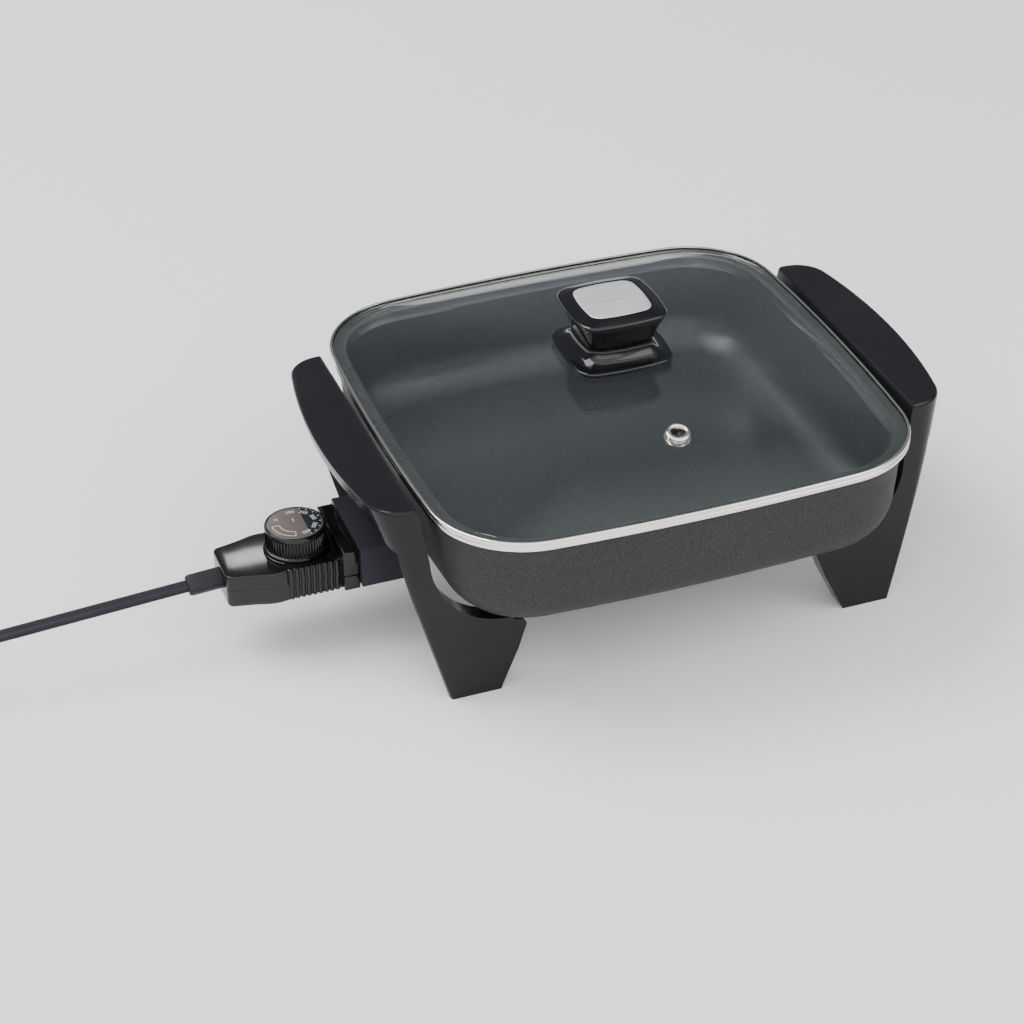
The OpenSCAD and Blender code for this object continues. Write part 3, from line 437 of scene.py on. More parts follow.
def glass_material():
    """Clear glass that lets lamps through and turns green where a ray runs a long way inside it."""
    mat = bpy.data.materials.new("lid_glass")
    mat.use_nodes = True
    tree, shader = mat.node_tree, mat.node_tree.nodes["Principled BSDF"]
    shader.inputs["Base Color"].default_value = (0.95, 0.965, 0.96, 1)
    shader.inputs["Transmission Weight"].default_value = 1.0
    shader.inputs["IOR"].default_value = 1.5
    where = tree.nodes.new("ShaderNodeTexCoord").outputs["Object"]
    uneven = group_node(mat, UNEVEN_GLOSS, where, Scale=12.0, Low=0.0, High=0.02)
    tree.links.new(uneven.outputs["Roughness"], shader.inputs["Roughness"])
    clear = tree.nodes.new("ShaderNodeBsdfTransparent")
    clear.inputs["Color"].default_value = (0.84, 0.87, 0.86, 1)
    path = tree.nodes.new("ShaderNodeLightPath")
    mix = tree.nodes.new("ShaderNodeMixShader")
    tree.links.new(path.outputs["Is Shadow Ray"], mix.inputs[0])
    tree.links.new(shader.outputs["BSDF"], mix.inputs[1])
    tree.links.new(clear.outputs["BSDF"], mix.inputs[2])
    tree.links.new(mix.outputs["Shader"], tree.nodes["Material Output"].inputs["Surface"])
    tint = tree.nodes.new("ShaderNodeVolumeAbsorption")
    tint.inputs["Color"].default_value = (0.55, 0.82, 0.70, 1)
    tint.inputs["Density"].default_value = 12.0
    tree.links.new(tint.outputs["Volume"], tree.nodes["Material Output"].inputs["Volume"])
    return mat


lid_clear = glass_material()
print("materials:", len(bpy.data.materials))

# %% [markdown]
# ## Skins from rings
#
# The pan, the lid and the knob share one plan: a square with round corners whose sides bow out a little.
# Such a form is drawn as a stack of rings. A circle is added, its points are put on the first ring, and
# its edge is then extruded ring by ring, as one would pull up a form by hand. Each point remembers its
# place in the ring through an attribute, which the extrusion copies.

# %% Ring skins


def arc_points(x, y, r, start, stop, count):
    return [(x + r * math.cos(math.radians(a)), y + r * math.sin(math.radians(a)))
            for a in (start + (stop - start) * i / count for i in range(count + 1))]


def bowed_square(half, corner, bow, inset=0.0, side=14, turn=14):
    """Plan of a square with bowed sides, drawn in by inset, all in millimetres."""
    c = (math.sqrt(2 * (bow - corner) ** 2 - (bow - half) ** 2) - (bow - half)) / 2
    a = math.degrees(math.atan2(c, c - half + bow))
    quarter = arc_points(half - bow, 0, bow - inset, -a, a, side)[:-1]
    quarter += arc_points(c, c, corner - inset, a, 90 - a, turn)[:-1]
    turns = ((1, 0), (0, 1), (-1, 0), (0, -1))
    return [(x * cs - y * sn, x * sn + y * cs) for cs, sn in turns for x, y in quarter]


def at_height(outline, z, scale=1.0):
    return [place(x * scale, y * scale, z) for x, y in outline]


def skin(name, rings, closed=False, capped=True):
    """A piece pulled up through rings of equal counts of points."""
    bpy.ops.object.select_all(action="DESELECT")
    bpy.ops.mesh.primitive_circle_add(vertices=len(rings[0]), radius=0.1)
    piece = bpy.context.object
    piece.name = name
    mesh = edit(piece)
    spot, row = mesh.verts.layers.int.new("spot"), mesh.verts.layers.int.new("row")
    for v in mesh.verts:
        v[spot] = v.index
        v.co = rings[0][v.index]
    bpy.ops.mesh.select_all(action="SELECT")
    for number, ring in enumerate(rings[1:], 1):
        bpy.ops.mesh.extrude_region_move()
        mesh = bmesh.from_edit_mesh(piece.data)
        spot, row = mesh.verts.layers.int["spot"], mesh.verts.layers.int["row"]
        for v in mesh.verts:
            if v.select:
                v.co = ring[v[spot]]
                v[row] = number
    last = len(rings) - 1
    if closed:
        select_verts(piece, lambda v: v[row] in (0, last))
        bpy.ops.mesh.bridge_edge_loops()
    elif capped:
        for end in (0, last):
            select_verts(piece, lambda v: v[row] == end)
            bpy.ops.mesh.edge_face_add()
    bpy.ops.mesh.select_all(action="SELECT")
    bpy.ops.mesh.normals_make_consistent(inside=False)
    leave_edit()
    for key in ("spot", "row"):
        piece.data.attributes.remove(piece.data.attributes[key])
    return piece


# %% [markdown]
# ## Softened copies
#
# A moulded part has no knife-sharp edge: each one is broken by half a millimetre or so, and that thin
# line is what catches the light. A part whose form is already exact is copied from its solid, its loose
# triangles are merged into clean faces, and its edges are bevelled.

# %% Softened copies


def softened(node, name, width, segments=2, angle=30, flat=0.6):
    source = nodes[node]
    piece = source.copy()
    piece.data = source.data.copy()
    for key in list(piece.keys()):
        del piece[key]
    bpy.context.scene.collection.objects.link(piece)
    piece.parent = None
    piece.name = name
    choose(piece)
    if piece.data.has_custom_normals:
        bpy.ops.mesh.customdata_custom_splitnormals_clear()
    edit(piece)
    bpy.ops.mesh.select_all(action="SELECT")
    bpy.ops.mesh.remove_doubles(threshold=0.00001)
    bpy.ops.mesh.dissolve_degenerate(threshold=0.00003)
    bpy.ops.mesh.dissolve_limited(angle_limit=math.radians(flat))
    leave_edit()
    if width > 0:
        apply_modifier(piece, "BEVEL", width=width * MM, segments=segments, limit_method="ANGLE",
                       angle_limit=math.radians(angle), use_clamp_overlap=True, harden_normals=False)
    smooth(piece, angle)
    apply_modifier(piece, "WEIGHTED_NORMAL", keep_sharp=True, weight=80)
    return piece


# %% [markdown]
# ## The cord
#
# A flat two-core cord leaves the control, sags to the table and runs out of the picture. The part of it
# that is out of sight is wound once round and back into a small coil, held by a strap, and ends in its
# plug. Its cross-section is two round cores side by side with a groove between them.

# %% The cord's route
SLEEVE_TILT, SLEEVE_ROLL = math.radians(3.5), math.radians(31)
SLEEVE_LENGTH, SLEEVE_Z = 20.0, 48.8
TAIL_X, CONTROL_AXIS_Z = -256.6, 52.0
CORD_WIDTH, CORD_THICKNESS, CORD_LIE = 8.0, 4.0, 3.2
RUN_LENGTH, FALL_LENGTH = 117.0, 102.0
COIL_X, COIL_R, COIL_PITCH, COIL_TURNS = -520.56, 46.0, 9.2, 2
LAYER_HEIGHT, TAIL_LENGTH, PLUG_Z = 5.4, 42.0, 7.7
cord_exit = Vector((TAIL_X - 1 - SLEEVE_LENGTH * math.cos(SLEEVE_TILT), 0,
                    SLEEVE_Z - SLEEVE_LENGTH * math.sin(SLEEVE_TILT)))
run_end = cord_exit + RUN_LENGTH * Vector((-1, 0, -math.tan(SLEEVE_TILT)))


def ease(t):
    t = max(0.0, min(1.0, t))
    return t * t * (3 - 2 * t)


def coil_point(turn):
    r = COIL_R - COIL_PITCH * min(turn, COIL_TURNS - turn)
    a = math.pi / 2 + 2 * math.pi * turn
    z = CORD_LIE + LAYER_HEIGHT * ease(2 * turn - COIL_TURNS + 0.5)
    return Vector((COIL_X + r * math.cos(a), -COIL_R + r * math.sin(a), z))


def fall_point(t):
    """Where the cord comes down from its straight run to the table, for t from 0 to 1."""
    z = run_end.z + (CORD_LIE - run_end.z) * ease(t) - FALL_LENGTH * math.tan(SLEEVE_TILT) * t * (1 - t) ** 2
    return Vector((run_end.x - FALL_LENGTH * t, 0, z))


def cord_route():
    run = [cord_exit.lerp(run_end, i / 12) for i in range(12)] + [fall_point(i / 30) for i in range(31)]
    run.append(Vector((COIL_X + 12, 0, CORD_LIE)))
    coil = [coil_point(i / 48) for i in range(48 * COIL_TURNS)]
    end = coil_point(COIL_TURNS)
    tail = [Vector((COIL_X - x, 0, end.z + (PLUG_Z - end.z) * ease(x / TAIL_LENGTH)))
            for x in (0, 7, 14, 21, 28, 35, TAIL_LENGTH + 1)]
    return run + coil + tail


def cord_section():
    """Two round cores joined by a web."""
    core = CORD_THICKNESS / 2
    offset = CORD_WIDTH / 2 - core
    half = [(offset + core * math.cos(math.radians(a)), core * math.sin(math.radians(a)))
            for a in range(-132, 133, 24)]
    return half + [(-x, -y) for x, y in half]


def turned(section, angle):
    cs, sn = math.cos(angle), math.sin(angle)
    return [(x * cs - y * sn, x * sn + y * cs) for x, y in section]


def along(points, section):
    """Rings of a section set square to a path. Its front edge is down at the sleeve, and then it lies flat."""
    rings = []
    for i, p in enumerate(points):
        d = (points[min(i + 1, len(points) - 1)] - points[max(i - 1, 0)]).normalized()
        across = Vector((0, 0, 1)).cross(d).normalized()
        up = d.cross(across)
        roll = 0 if i > 44 else SLEEVE_ROLL * (1 - ease((run_end.x - p.x) / FALL_LENGTH))
        rings.append([place(*(p + across * x + up * y)) for x, y in turned(section, -roll)])
    return rings


route = cord_route()
cord = skin("cord_flex", along(route, cord_section()))
smooth(cord, 60)
finish_piece(cord, "control", [cord_black], ["cord_run", "cord_coil", "cord_tail"])

# %% [markdown]
# The sleeve that guards the cord where it leaves the control is a soft flat block, a little wider than the
# cord and turned with it. Its end is rounded.

# %% Strain relief and plug


def rounded_box(half_y, half_z, corner, count=6):
    points = []
    for quarter, (cy, cz) in enumerate(((1, 1), (-1, 1), (-1, -1), (1, -1))):
        points += arc_points(cy * (half_y - corner), cz * (half_z - corner), corner,
                             90 * quarter, 90 * quarter + 90, count)
    return points


def sleeve_rings():
    start = Vector((TAIL_X - 1, 0, SLEEVE_Z))
    axis = Vector((-math.cos(SLEEVE_TILT), 0, -math.sin(SLEEVE_TILT)))
    across = Vector((0, 0, 1)).cross(axis).normalized()
    up = axis.cross(across)
    rings = []
    for distance, inset in ((-6.5, 0), (17.0, 0), (18.8, 0.2), (19.6, 0.6), (19.95, 1.2)):
        section = rounded_box(CORD_WIDTH / 2 + 2.5 - inset, CORD_THICKNESS / 2 + 1.3 - inset, 1.9 - inset)
        rings.append([place(*(start + axis * distance + across * x + up * y))
                      for x, y in turned(section, -SLEEVE_ROLL)])
    return rings


sleeve = skin("strain_sleeve", sleeve_rings())
smooth(sleeve, 40)
finish_piece(sleeve, "control", [cord_black], ["strain_relief"])
plug = softened("plug_body", "plug_moulding", 0.9, 3)
finish_piece(plug, "control", [cord_black], ["plug_body"])
blades = softened("plug_blades", "plug_pins", 0.2)
finish_piece(blades, "control", [brass], ["plug_blades"])
tie = softened("cord_tie", "cord_strap", 0.25)
finish_piece(tie, "control", [cord_black], ["cord_tie"])

# %% [markdown]
# ## The pan
#
# The pan is cast metal with a nonstick coating: a flat floor, a wide curve up into walls that lean out by
# a few degrees, and a bead round the rim. One skin goes up the outside, over the rim and down the inside.
# The faces inside get the inner coating.

# %% The pan's skin
HALF, CORNER, BOW = 155.0, 60.0, 1540.0
TABLE_CLEAR, RIM_Z, WALL_INSET = 60.0, 125.3, 4.8
EDGE_Z, EDGE_INSET, EDGE_R, WALL, FLOOR = 90.0, 7.54, 30.0, 3.2, 4.0


def pan_profile():
    turn = [i * 7.5 for i in range(13)]
    outside = [(EDGE_INSET + EDGE_R * (1 - math.cos(math.radians(90 - a))),
                EDGE_Z - EDGE_R * math.sin(math.radians(90 - a))) for a in turn]
    outside += [(EDGE_INSET - 0.9, 100), (WALL_INSET + 0.9, 111), (WALL_INSET, RIM_Z - 4.6),
                (WALL_INSET - 0.5, RIM_Z - 4.0), (3.1, RIM_Z - 3.6), (2.8, RIM_Z - 3.0), (2.8, RIM_Z - 1.0),
                (3.1, RIM_Z - 0.3), (3.8, RIM_Z)]
    inner_r = EDGE_R - FLOOR
    inside = [(WALL_INSET + 1.7, RIM_Z), (WALL_INSET + 2.7, RIM_Z - 0.6), (WALL_INSET + WALL, RIM_Z - 2.0),
              (WALL_INSET + WALL + 0.9, 111), (EDGE_INSET + WALL - 0.9, 100)]
    inside += [(EDGE_INSET + WALL + inner_r * (1 - math.cos(math.radians(a))),
                EDGE_Z - inner_r * math.sin(math.radians(a))) for a in turn]
    return outside, inside


pan_out, pan_in = pan_profile()
pan_shell = skin("pan_shell", [at_height(bowed_square(HALF, CORNER, BOW, t), z) for t, z in pan_out + pan_in])

# %% [markdown]
# Under the floor a rib holds the heating element, four bosses take the bracket screws, two small ones
# carry the terminal guard, and a block has the well for the probe. They are cast in one with the pan.

# %% Under the pan
PROBE_Z = CONTROL_AXIS_Z
LOOP_R, RIB_WIDTH, LOOP_HALF = 85.0, 14.0, 160.0
BOSS_X, BOSS_Y, GUARD_BOSS_X, GUARD_BOSS_Y = 112.0, 92.0, 112.0, 26.3


def add_boss(x, y, z_low, z_high, r):
    bpy.ops.object.select_all(action="DESELECT")
    bpy.ops.mesh.primitive_cylinder_add(vertices=40, radius=r * MM, depth=(z_high - z_low) * MM,
                                        location=place(x, y, (z_low + z_high) / 2))
    boss = bpy.context.object
    edit(boss)
    low = place(0, 0, z_low).z
    select_verts(boss, lambda v: (boss.matrix_world @ v.co).z < low + 0.0001)
    bpy.ops.mesh.bevel(offset=0.6 * MM, segments=3, affect="EDGES")
    leave_edit()
    settle(boss)
    return boss


def add_rib():
    """The element's rib: its section spun round most of a circle."""
    bpy.ops.object.select_all(action="DESELECT")
    bpy.ops.mesh.primitive_plane_add(size=1, location=place(LOOP_R, 0, PROBE_Z + 4.8), rotation=(math.pi / 2, 0, 0))
    rib = bpy.context.object
    rib.scale = (RIB_WIDTH * MM, 8.6 * MM, 1)
    settle(rib)
    edit(rib)
    bpy.ops.mesh.select_all(action="SELECT")
    bpy.ops.mesh.bevel(offset=1.2 * MM, segments=2, affect="VERTICES")
    bpy.ops.transform.rotate(value=math.radians(LOOP_HALF), orient_axis="Z", center_override=place(0, 0, 0))
    bpy.ops.mesh.spin(steps=80, angle=math.radians(2 * LOOP_HALF), center=place(0, 0, 0), axis=(0, 0, 1))
    bpy.ops.mesh.select_all(action="SELECT")
    bpy.ops.mesh.remove_doubles(threshold=0.00001)
    bpy.ops.mesh.normals_make_consistent(inside=False)
    leave_edit()
    return rib


def add_probe_well():
    bpy.ops.object.select_all(action="DESELECT")
    bpy.ops.mesh.primitive_cube_add(size=1, location=place(-110, 0, PROBE_Z + 1.5))
    well = bpy.context.object
    well.scale = (24 * MM, 18 * MM, 15 * MM)
    settle(well)
    edit(well)
    select_verts(well, lambda v: v.co.z < place(0, 0, PROBE_Z).z)
    bpy.ops.mesh.bevel(offset=2.5 * MM, segments=4, affect="EDGES")
    mouth = place(-122, 0, 0).x
    bpy.ops.mesh.select_all(action="SELECT")
    bpy.ops.mesh.normals_make_consistent(inside=False)
    leave_edit()
    bpy.ops.object.select_all(action="DESELECT")
    bpy.ops.mesh.primitive_cylinder_add(vertices=32, radius=3.4 * MM, depth=44 * MM, location=place(-122, 0, PROBE_Z),
                                        rotation=(0, math.pi / 2, 0))
    bore = bpy.context.object
    settle(bore)
    apply_modifier(well, "BOOLEAN", object=bore, operation="DIFFERENCE")
    bpy.data.objects.remove(bore)
    print("probe well opens at", round(mouth, 4))
    return well


under = [add_boss(s * BOSS_X, t * BOSS_Y, 50.8, TABLE_CLEAR + 1, 6.5) for s in (LEFT, RIGHT) for t in (-1, 1)]
under += [add_boss(-GUARD_BOSS_X, t * GUARD_BOSS_Y, 56.7, TABLE_CLEAR + 1, 4.5) for t in (-1, 1)]
under += [add_rib(), add_probe_well()]
pan = join("pan_casting", under + [pan_shell])
finish_piece(pan, "skillet", [pan_outside, pan_inside], ["pan"])
inner_limit = (HALF - WALL_INSET - 1.2) * MM


def is_inside(face):
    """True for faces that look up or inwards from inside the rim."""
    c = face.center
    x, y, z = abs(c.x - PAN_X * MM), abs(c.y), c.z / MM
    towards = face.normal.x * (c.x - PAN_X * MM) + face.normal.y * c.y
    return z > TABLE_CLEAR + FLOOR - 0.5 and max(x, y) < inner_limit and (face.normal.z > 0.5 or towards < 0)


for face in pan.data.polygons:
    face.material_index = 1 if is_inside(face) else 0
smooth(pan, 35)
print("pan faces inside:", sum(face.material_index for face in pan.data.polygons))

# %% [markdown]
# ## Handles and legs
#
# Each side of the skillet stands on one moulding: a bowed handle, and two legs whose front and back plates
# lean in and are cut out round the pan. The form is exact in its solid, so it is copied and its edges are
# softened.

# %% Brackets
for node, name in (("left_bracket", "left_handle_legs"), ("right_bracket", "right_handle_legs")):
    bracket = softened(node, name, 0.8, 3, 28, 0.12)
    finish_piece(bracket, "skillet", [handle_black], [node])

guard = softened("terminal_guard", "terminal_shroud", 0.7, 3)
finish_piece(guard, "skillet", [guard_black], ["terminal_guard"])

# %% [markdown]
# ## The lid
#
# The lid is a shallow dome of tempered glass. A steel band is rolled round its edge, and a skirt below the
# band drops into the pan. The dome rises along a parabola and levels off under the knob.

# %% Lid glass
GLASS_EDGE_Z, GLASS_T, DOME_H, DOME_SHARE, SEAT_SHARE = 126.5, 3.8, 25.0, 0.965, 0.22
VENT_X, VENT_Y, VENT_R = 5.0, 92.5, 4.7


def dome_z(share):
    share = min(share, DOME_SHARE)
    return GLASS_EDGE_Z + GLASS_T + DOME_H * (1 - (share / DOME_SHARE) ** 2)


def glass_rings():
    plan = bowed_square(HALF, CORNER, BOW)
    edge = 1 - 2 * 1.0 / (2 * HALF)
    shares = [SEAT_SHARE, 0.25, 0.29, 0.34, 0.40, 0.46, 0.52, 0.58, 0.64, 0.70, 0.76, 0.82, 0.87, 0.91, 0.94,
              0.955, 0.967, 0.98]
    rings = [at_height(plan, dome_z(s) - GLASS_T, s) for s in shares]
    for k in range(1, 7):
        a = math.pi * k / 7
        rings.append(at_height(plan, GLASS_EDGE_Z + GLASS_T / 2 * (1 - math.cos(a)),
                               edge - (1 - math.sin(a)) * 1.6 / HALF))
    return rings + [at_height(plan, dome_z(s), s) for s in reversed(shares)]


glass = skin("lid_dome", glass_rings())
vent_point = place(VENT_X, -VENT_Y, dome_z(VENT_Y / HALF))
vent_tilt = math.atan(2 * DOME_H * VENT_Y / (DOME_SHARE * HALF) ** 2)


def drill(piece, radius, point, tilt):
    """Cuts a round hole of that radius, in millimetres, along the tilted upright axis."""
    bpy.ops.object.select_all(action="DESELECT")
    bpy.ops.mesh.primitive_cylinder_add(vertices=48, radius=radius * MM, depth=40 * MM, location=point,
                                        rotation=(tilt, 0, 0))
    bit = bpy.context.object
    settle(bit)
    apply_modifier(piece, "BOOLEAN", object=bit, operation="DIFFERENCE")
    bpy.data.objects.remove(bit)


drill(glass, VENT_R + 1.4, vent_point, vent_tilt)
drill(glass, 3.6, place(0, 0, 155), 0)
smooth(glass, 30)
finish_piece(glass, "lid", [lid_clear], ["lid_glass"])

# %% [markdown]
# The band is one strip of steel in section: a skirt, a shelf under the glass, an outer face with a rolled
# groove, and a flange that laps over the glass. The section goes once round and closes on itself. The shelf
# lies in the shade of the glass, and that shade is painted into it as a much darker steel than the
# polished face.

# %% Steel band
BAND_Z, SKIRT_INSET, GAUGE = 125.5, 10.5, 0.8


def band_section():
    """Insets from the lid's outline and heights above the band's underside, going once round."""
    outer = [(0.5, 0), (0.12, 0.14), (0, 0.5), (0, 2.3), (0.16, 2.62), (0.42, 2.86), (0.42, 3.06), (0.16, 3.3),
             (0, 3.65), (0, 4.9), (0.14, 5.35), (0.5, 5.72), (1.0, 5.93), (1.6, 5.9),
             (1.92, 5.75), (2.0, 5.5), (1.85, 5.28), (1.5, 5.2), (1.1, 5.1), (0.9, 4.9), (0.8, 4.5), (0.8, 1.25),
             (1.1, 0.85), (9.9, 0.8), (SKIRT_INSET + 0.55, 0.6), (SKIRT_INSET + GAUGE, 0.1)]
    skirt = [(SKIRT_INSET + GAUGE, -6.9), (SKIRT_INSET + GAUGE / 2, -7.2), (SKIRT_INSET, -6.9),
             (SKIRT_INSET, -0.5), (SKIRT_INSET - 0.4, -0.05), (SKIRT_INSET - 1, 0)]
    return outer + skirt


band = skin("lid_band", [at_height(bowed_square(HALF, CORNER, BOW, t), BAND_Z + z) for t, z in band_section()],
            closed=True)
smooth(band, 40)
finish_piece(band, "lid", [band_steel, shelf_painted_shade_steel], ["lid_rim"])
# The shelf's upward faces take the darker steel, as painted shade.
shelf_low, shelf_high = place(0, 0, BAND_Z + 0.3).z, place(0, 0, BAND_Z + 1.0).z
for face in band.data.polygons:
    if shelf_low < face.center.z < shelf_high and face.normal.z > 0.8:
        face.material_index = 1

# %% [markdown]
# The vent is a steel eyelet pressed through the glass: a rounded collar on top, a neck, and a flange
# rolled out underneath. Its section is spun round the hole's own axis.

# %% Vent eyelet


def spun(name, section, point, tilt=0.0, steps=72):
    """Spins a closed section of (radius, height) pairs, in millimetres, round an upright or tilted axis."""
    bpy.ops.object.select_all(action="DESELECT")
    bpy.ops.mesh.primitive_circle_add(vertices=len(section), radius=0.01)
    piece = bpy.context.object
    piece.name = name
    mesh = edit(piece)
    for v in mesh.verts:
        r, z = section[v.index]
        v.co = Vector((r * MM, 0, z * MM))
    bpy.ops.mesh.select_all(action="SELECT")
    bpy.ops.mesh.spin(steps=steps, angle=2 * math.pi, center=(0, 0, 0), axis=(0, 0, 1))
    bpy.ops.mesh.select_all(action="SELECT")
    bpy.ops.mesh.remove_doubles(threshold=0.000002)
    bpy.ops.mesh.normals_make_consistent(inside=False)
    leave_edit()
    piece.rotation_euler = (tilt, 0, 0)
    piece.location = point
    settle(piece)
    return piece


eyelet_section = [(VENT_R, -5.4), (VENT_R + 3.3, -5.4), (VENT_R + 3.4, -4.9), (VENT_R + 1.3, -4.5),
                  (VENT_R + 1.2, 0.3), (VENT_R + 2.6, 0.35), (VENT_R + 2.95, 0.6), (VENT_R + 2.85, 1.05),
                  (VENT_R + 2.45, 1.5), (VENT_R + 1.8, 1.8), (VENT_R + 1.0, 1.82), (VENT_R + 0.35, 1.5),
                  (VENT_R, 0.9)]
eyelet = spun("vent_eyelet", eyelet_section, vent_point, vent_tilt)
smooth(eyelet, 50)
finish_piece(eyelet, "lid", [band_steel], ["vent_grommet"])

# %% [markdown]
# ## The knob
#
# The knob is two glossy mouldings. The base flares out to the glass in a hollow sweep, and the grip above
# it widens to a crowned top with a recess for the brushed steel inlay. All three share the lid's bowed
# square plan on a small scale.

# %% Knob
SEAT_Z = dome_z(SEAT_SHARE)
KNOB_Z = SEAT_Z + 1.4
BASE_W, WAIST_W, BASE_H = 32.8, 21.6, 12.0
GRIP_Z, GRIP_W, INLAY_W = KNOB_Z + BASE_H + 0.2, 29.3, 20.8


def knob_ring(w, z, corner=0.36):
    return at_height(bowed_square(1, corner, 5, 0, 8, 12), z, w)


def knob_base_rings():
    foot = 2.6
    reach, rise = BASE_W - 0.7 - WAIST_W, BASE_H - foot
    rings = [knob_ring(BASE_W - 1.4, KNOB_Z), knob_ring(BASE_W - 0.4, KNOB_Z + 0.25), knob_ring(BASE_W, KNOB_Z + 0.9),
             knob_ring(BASE_W, KNOB_Z + foot - 0.8), knob_ring(BASE_W - 0.3, KNOB_Z + foot - 0.2)]
    for i in range(15):
        a = math.radians(i * 90 / 14)
        w = BASE_W - 0.7 - reach * math.sin(a) ** 0.9
        rings.append(knob_ring(w, KNOB_Z + foot + 0.1 + (rise - 0.1) * (1 - math.cos(a))))
    return rings


def knob_grip_rings():
    steps = [(WAIST_W - 1.0, 0), (WAIST_W - 0.2, 0.15), (WAIST_W + 0.5, 0.7), (WAIST_W + 1.2, 2.6),
             (WAIST_W + 2.1, 5.5), (WAIST_W + 3.5, 9.2), (WAIST_W + 5.0, 12.4), (WAIST_W + 6.6, 15.6),
             (GRIP_W - 0.4, 17.2), (GRIP_W - 0.05, 18.2), (GRIP_W, 18.7), (GRIP_W - 0.12, 19.2), (GRIP_W - 0.6, 19.7),
             (GRIP_W - 1.4, 20.0), (GRIP_W - 3.5, 20.6), (INLAY_W + 2.6, 21.4), (INLAY_W + 0.9, 21.85),
             (INLAY_W + 0.35, 21.8), (INLAY_W + 0.2, 21.4), (INLAY_W + 0.2, 20.9)]
    return [knob_ring(w, GRIP_Z + z) for w, z in steps]


def inlay_rings():
    steps = [(INLAY_W - 0.2, 21.1), (INLAY_W, 21.2), (INLAY_W, 21.72), (INLAY_W - 0.3, 21.98), (INLAY_W - 1, 22.06),
             (INLAY_W * 0.75, 22.3), (INLAY_W * 0.5, 22.46), (INLAY_W * 0.2, 22.52)]
    return [knob_ring(w, GRIP_Z + z) for w, z in steps]


knob_base = skin("knob_foot", knob_base_rings())
smooth(knob_base, 40)
finish_piece(knob_base, "lid", [knob_black], ["knob_base"])
knob_grip = skin("knob_head", knob_grip_rings())
smooth(knob_grip, 40)
finish_piece(knob_grip, "lid", [knob_black], ["knob_grip"])
inlay = skin("knob_plate", inlay_rings())
smooth(inlay, 40)
finish_piece(inlay, "lid", [inlay_steel], ["knob_inlay"])

# %% [markdown]
# ## The control
#
# The control's two shells meet half way up. Seen from above the body swells to shoulders behind the dial,
# draws in beside it, and widens again to a flange that fingers push against. Both shells follow the same
# plan, drawn once as half-widths along the body and mirrored.

# %% Control shells
SPLIT_Z, BODY_BOTTOM, BODY_TOP, SEAM = 48.68, 37.5, 59.0, 0.1
FLANGE_X, FLANGE_L, FLANGE_TOP, DIAL_X = -176.0, 10.0, 66.5, -207.6
HALF_WIDTHS = [(-256.6, 13.4), (-256.45, 14.9), (-256.0, 16.1), (-255.1, 17.1), (-253.8, 17.8), (-252.0, 18.2),
               (-248.0, 19.0), (-243.0, 20.1), (-238.0, 21.4), (-234.5, 22.5), (-231.5, 23.4), (-228.0, 23.9),
               (-224.0, 23.9), (-220.0, 23.3), (-215.0, 22.4), (-210.0, 21.8), (-205.0, 21.6), (-200.0, 21.7),
               (-194.0, 21.9), (-183.0, 22.2)]


def control_plan(inset):
    """The body's outline drawn in by inset, on both sides of its axis."""
    one = []
    count = len(HALF_WIDTHS)
    for i, (x, w) in enumerate(HALF_WIDTHS):
        before, after = HALF_WIDTHS[max(i - 1, 0)], HALF_WIDTHS[min(i + 1, count - 1)]
        along_x, along_y = after[0] - before[0], after[1] - before[1]
        size = math.hypot(along_x, along_y)
        one.append((x + inset * along_y / size, w - inset * along_x / size))
    one[-1] = (HALF_WIDTHS[-1][0], one[-1][1])
    return [(x, -w) for x, w in one] + [(x, w) for x, w in reversed(one)]


def control_rings(steps):
    return [[place(x, y, z) for x, y in control_plan(inset)] for inset, z in steps]


def add_block(x0, x1, y0, y1, z0, z1, round_by, segments=4):
    """A block with all its edges rounded."""
    bpy.ops.object.select_all(action="DESELECT")
    bpy.ops.mesh.primitive_cube_add(size=1, location=place((x0 + x1) / 2, (y0 + y1) / 2, (z0 + z1) / 2))
    block = bpy.context.object
    block.scale = ((x1 - x0) * MM, (y1 - y0) * MM, (z1 - z0) * MM)
    settle(block)
    edit(block)
    bpy.ops.mesh.select_all(action="SELECT")
    bpy.ops.mesh.bevel(offset=round_by * MM, segments=segments, affect="EDGES")
    leave_edit()
    return block


def add_rib_post(x, y, z0, z1, r):
    """One rib of the thumb grip: a round post with a domed top."""
    bpy.ops.object.select_all(action="DESELECT")
    bpy.ops.mesh.primitive_cylinder_add(vertices=20, radius=r * MM, depth=(z1 - z0) * MM,
                                        location=place(x, y, (z0 + z1) / 2))
    post = bpy.context.object
    settle(post)
    edit(post)
    top = place(0, 0, z1).z
    select_verts(post, lambda v: abs(v.co.z - top) < 0.0001)
    bpy.ops.mesh.bevel(offset=0.7 * MM, segments=3, affect="EDGES")
    leave_edit()
    return post


RIBS, RIB_PITCH, RIB_R = 9, 3.6, 1.45


def thumb_grips(z0, z1, reach):
    """On each side a pad and a row of upright ribs that stand out to the reach."""
    parts = []
    for side in (-1, 1):
        y0, y1 = sorted((side * 16.0, side * (reach - 1.1)))
        parts.append(add_block(FLANGE_X - FLANGE_L - 34, FLANGE_X - FLANGE_L + 1, y0, y1, z0, z1, 0.5, 2))
        for i in range(RIBS):
            x = FLANGE_X - FLANGE_L - 1.5 - RIB_PITCH * (i + 0.5)
            parts.append(add_rib_post(x, side * (reach - RIB_R), z0, z1, RIB_R))
    return parts


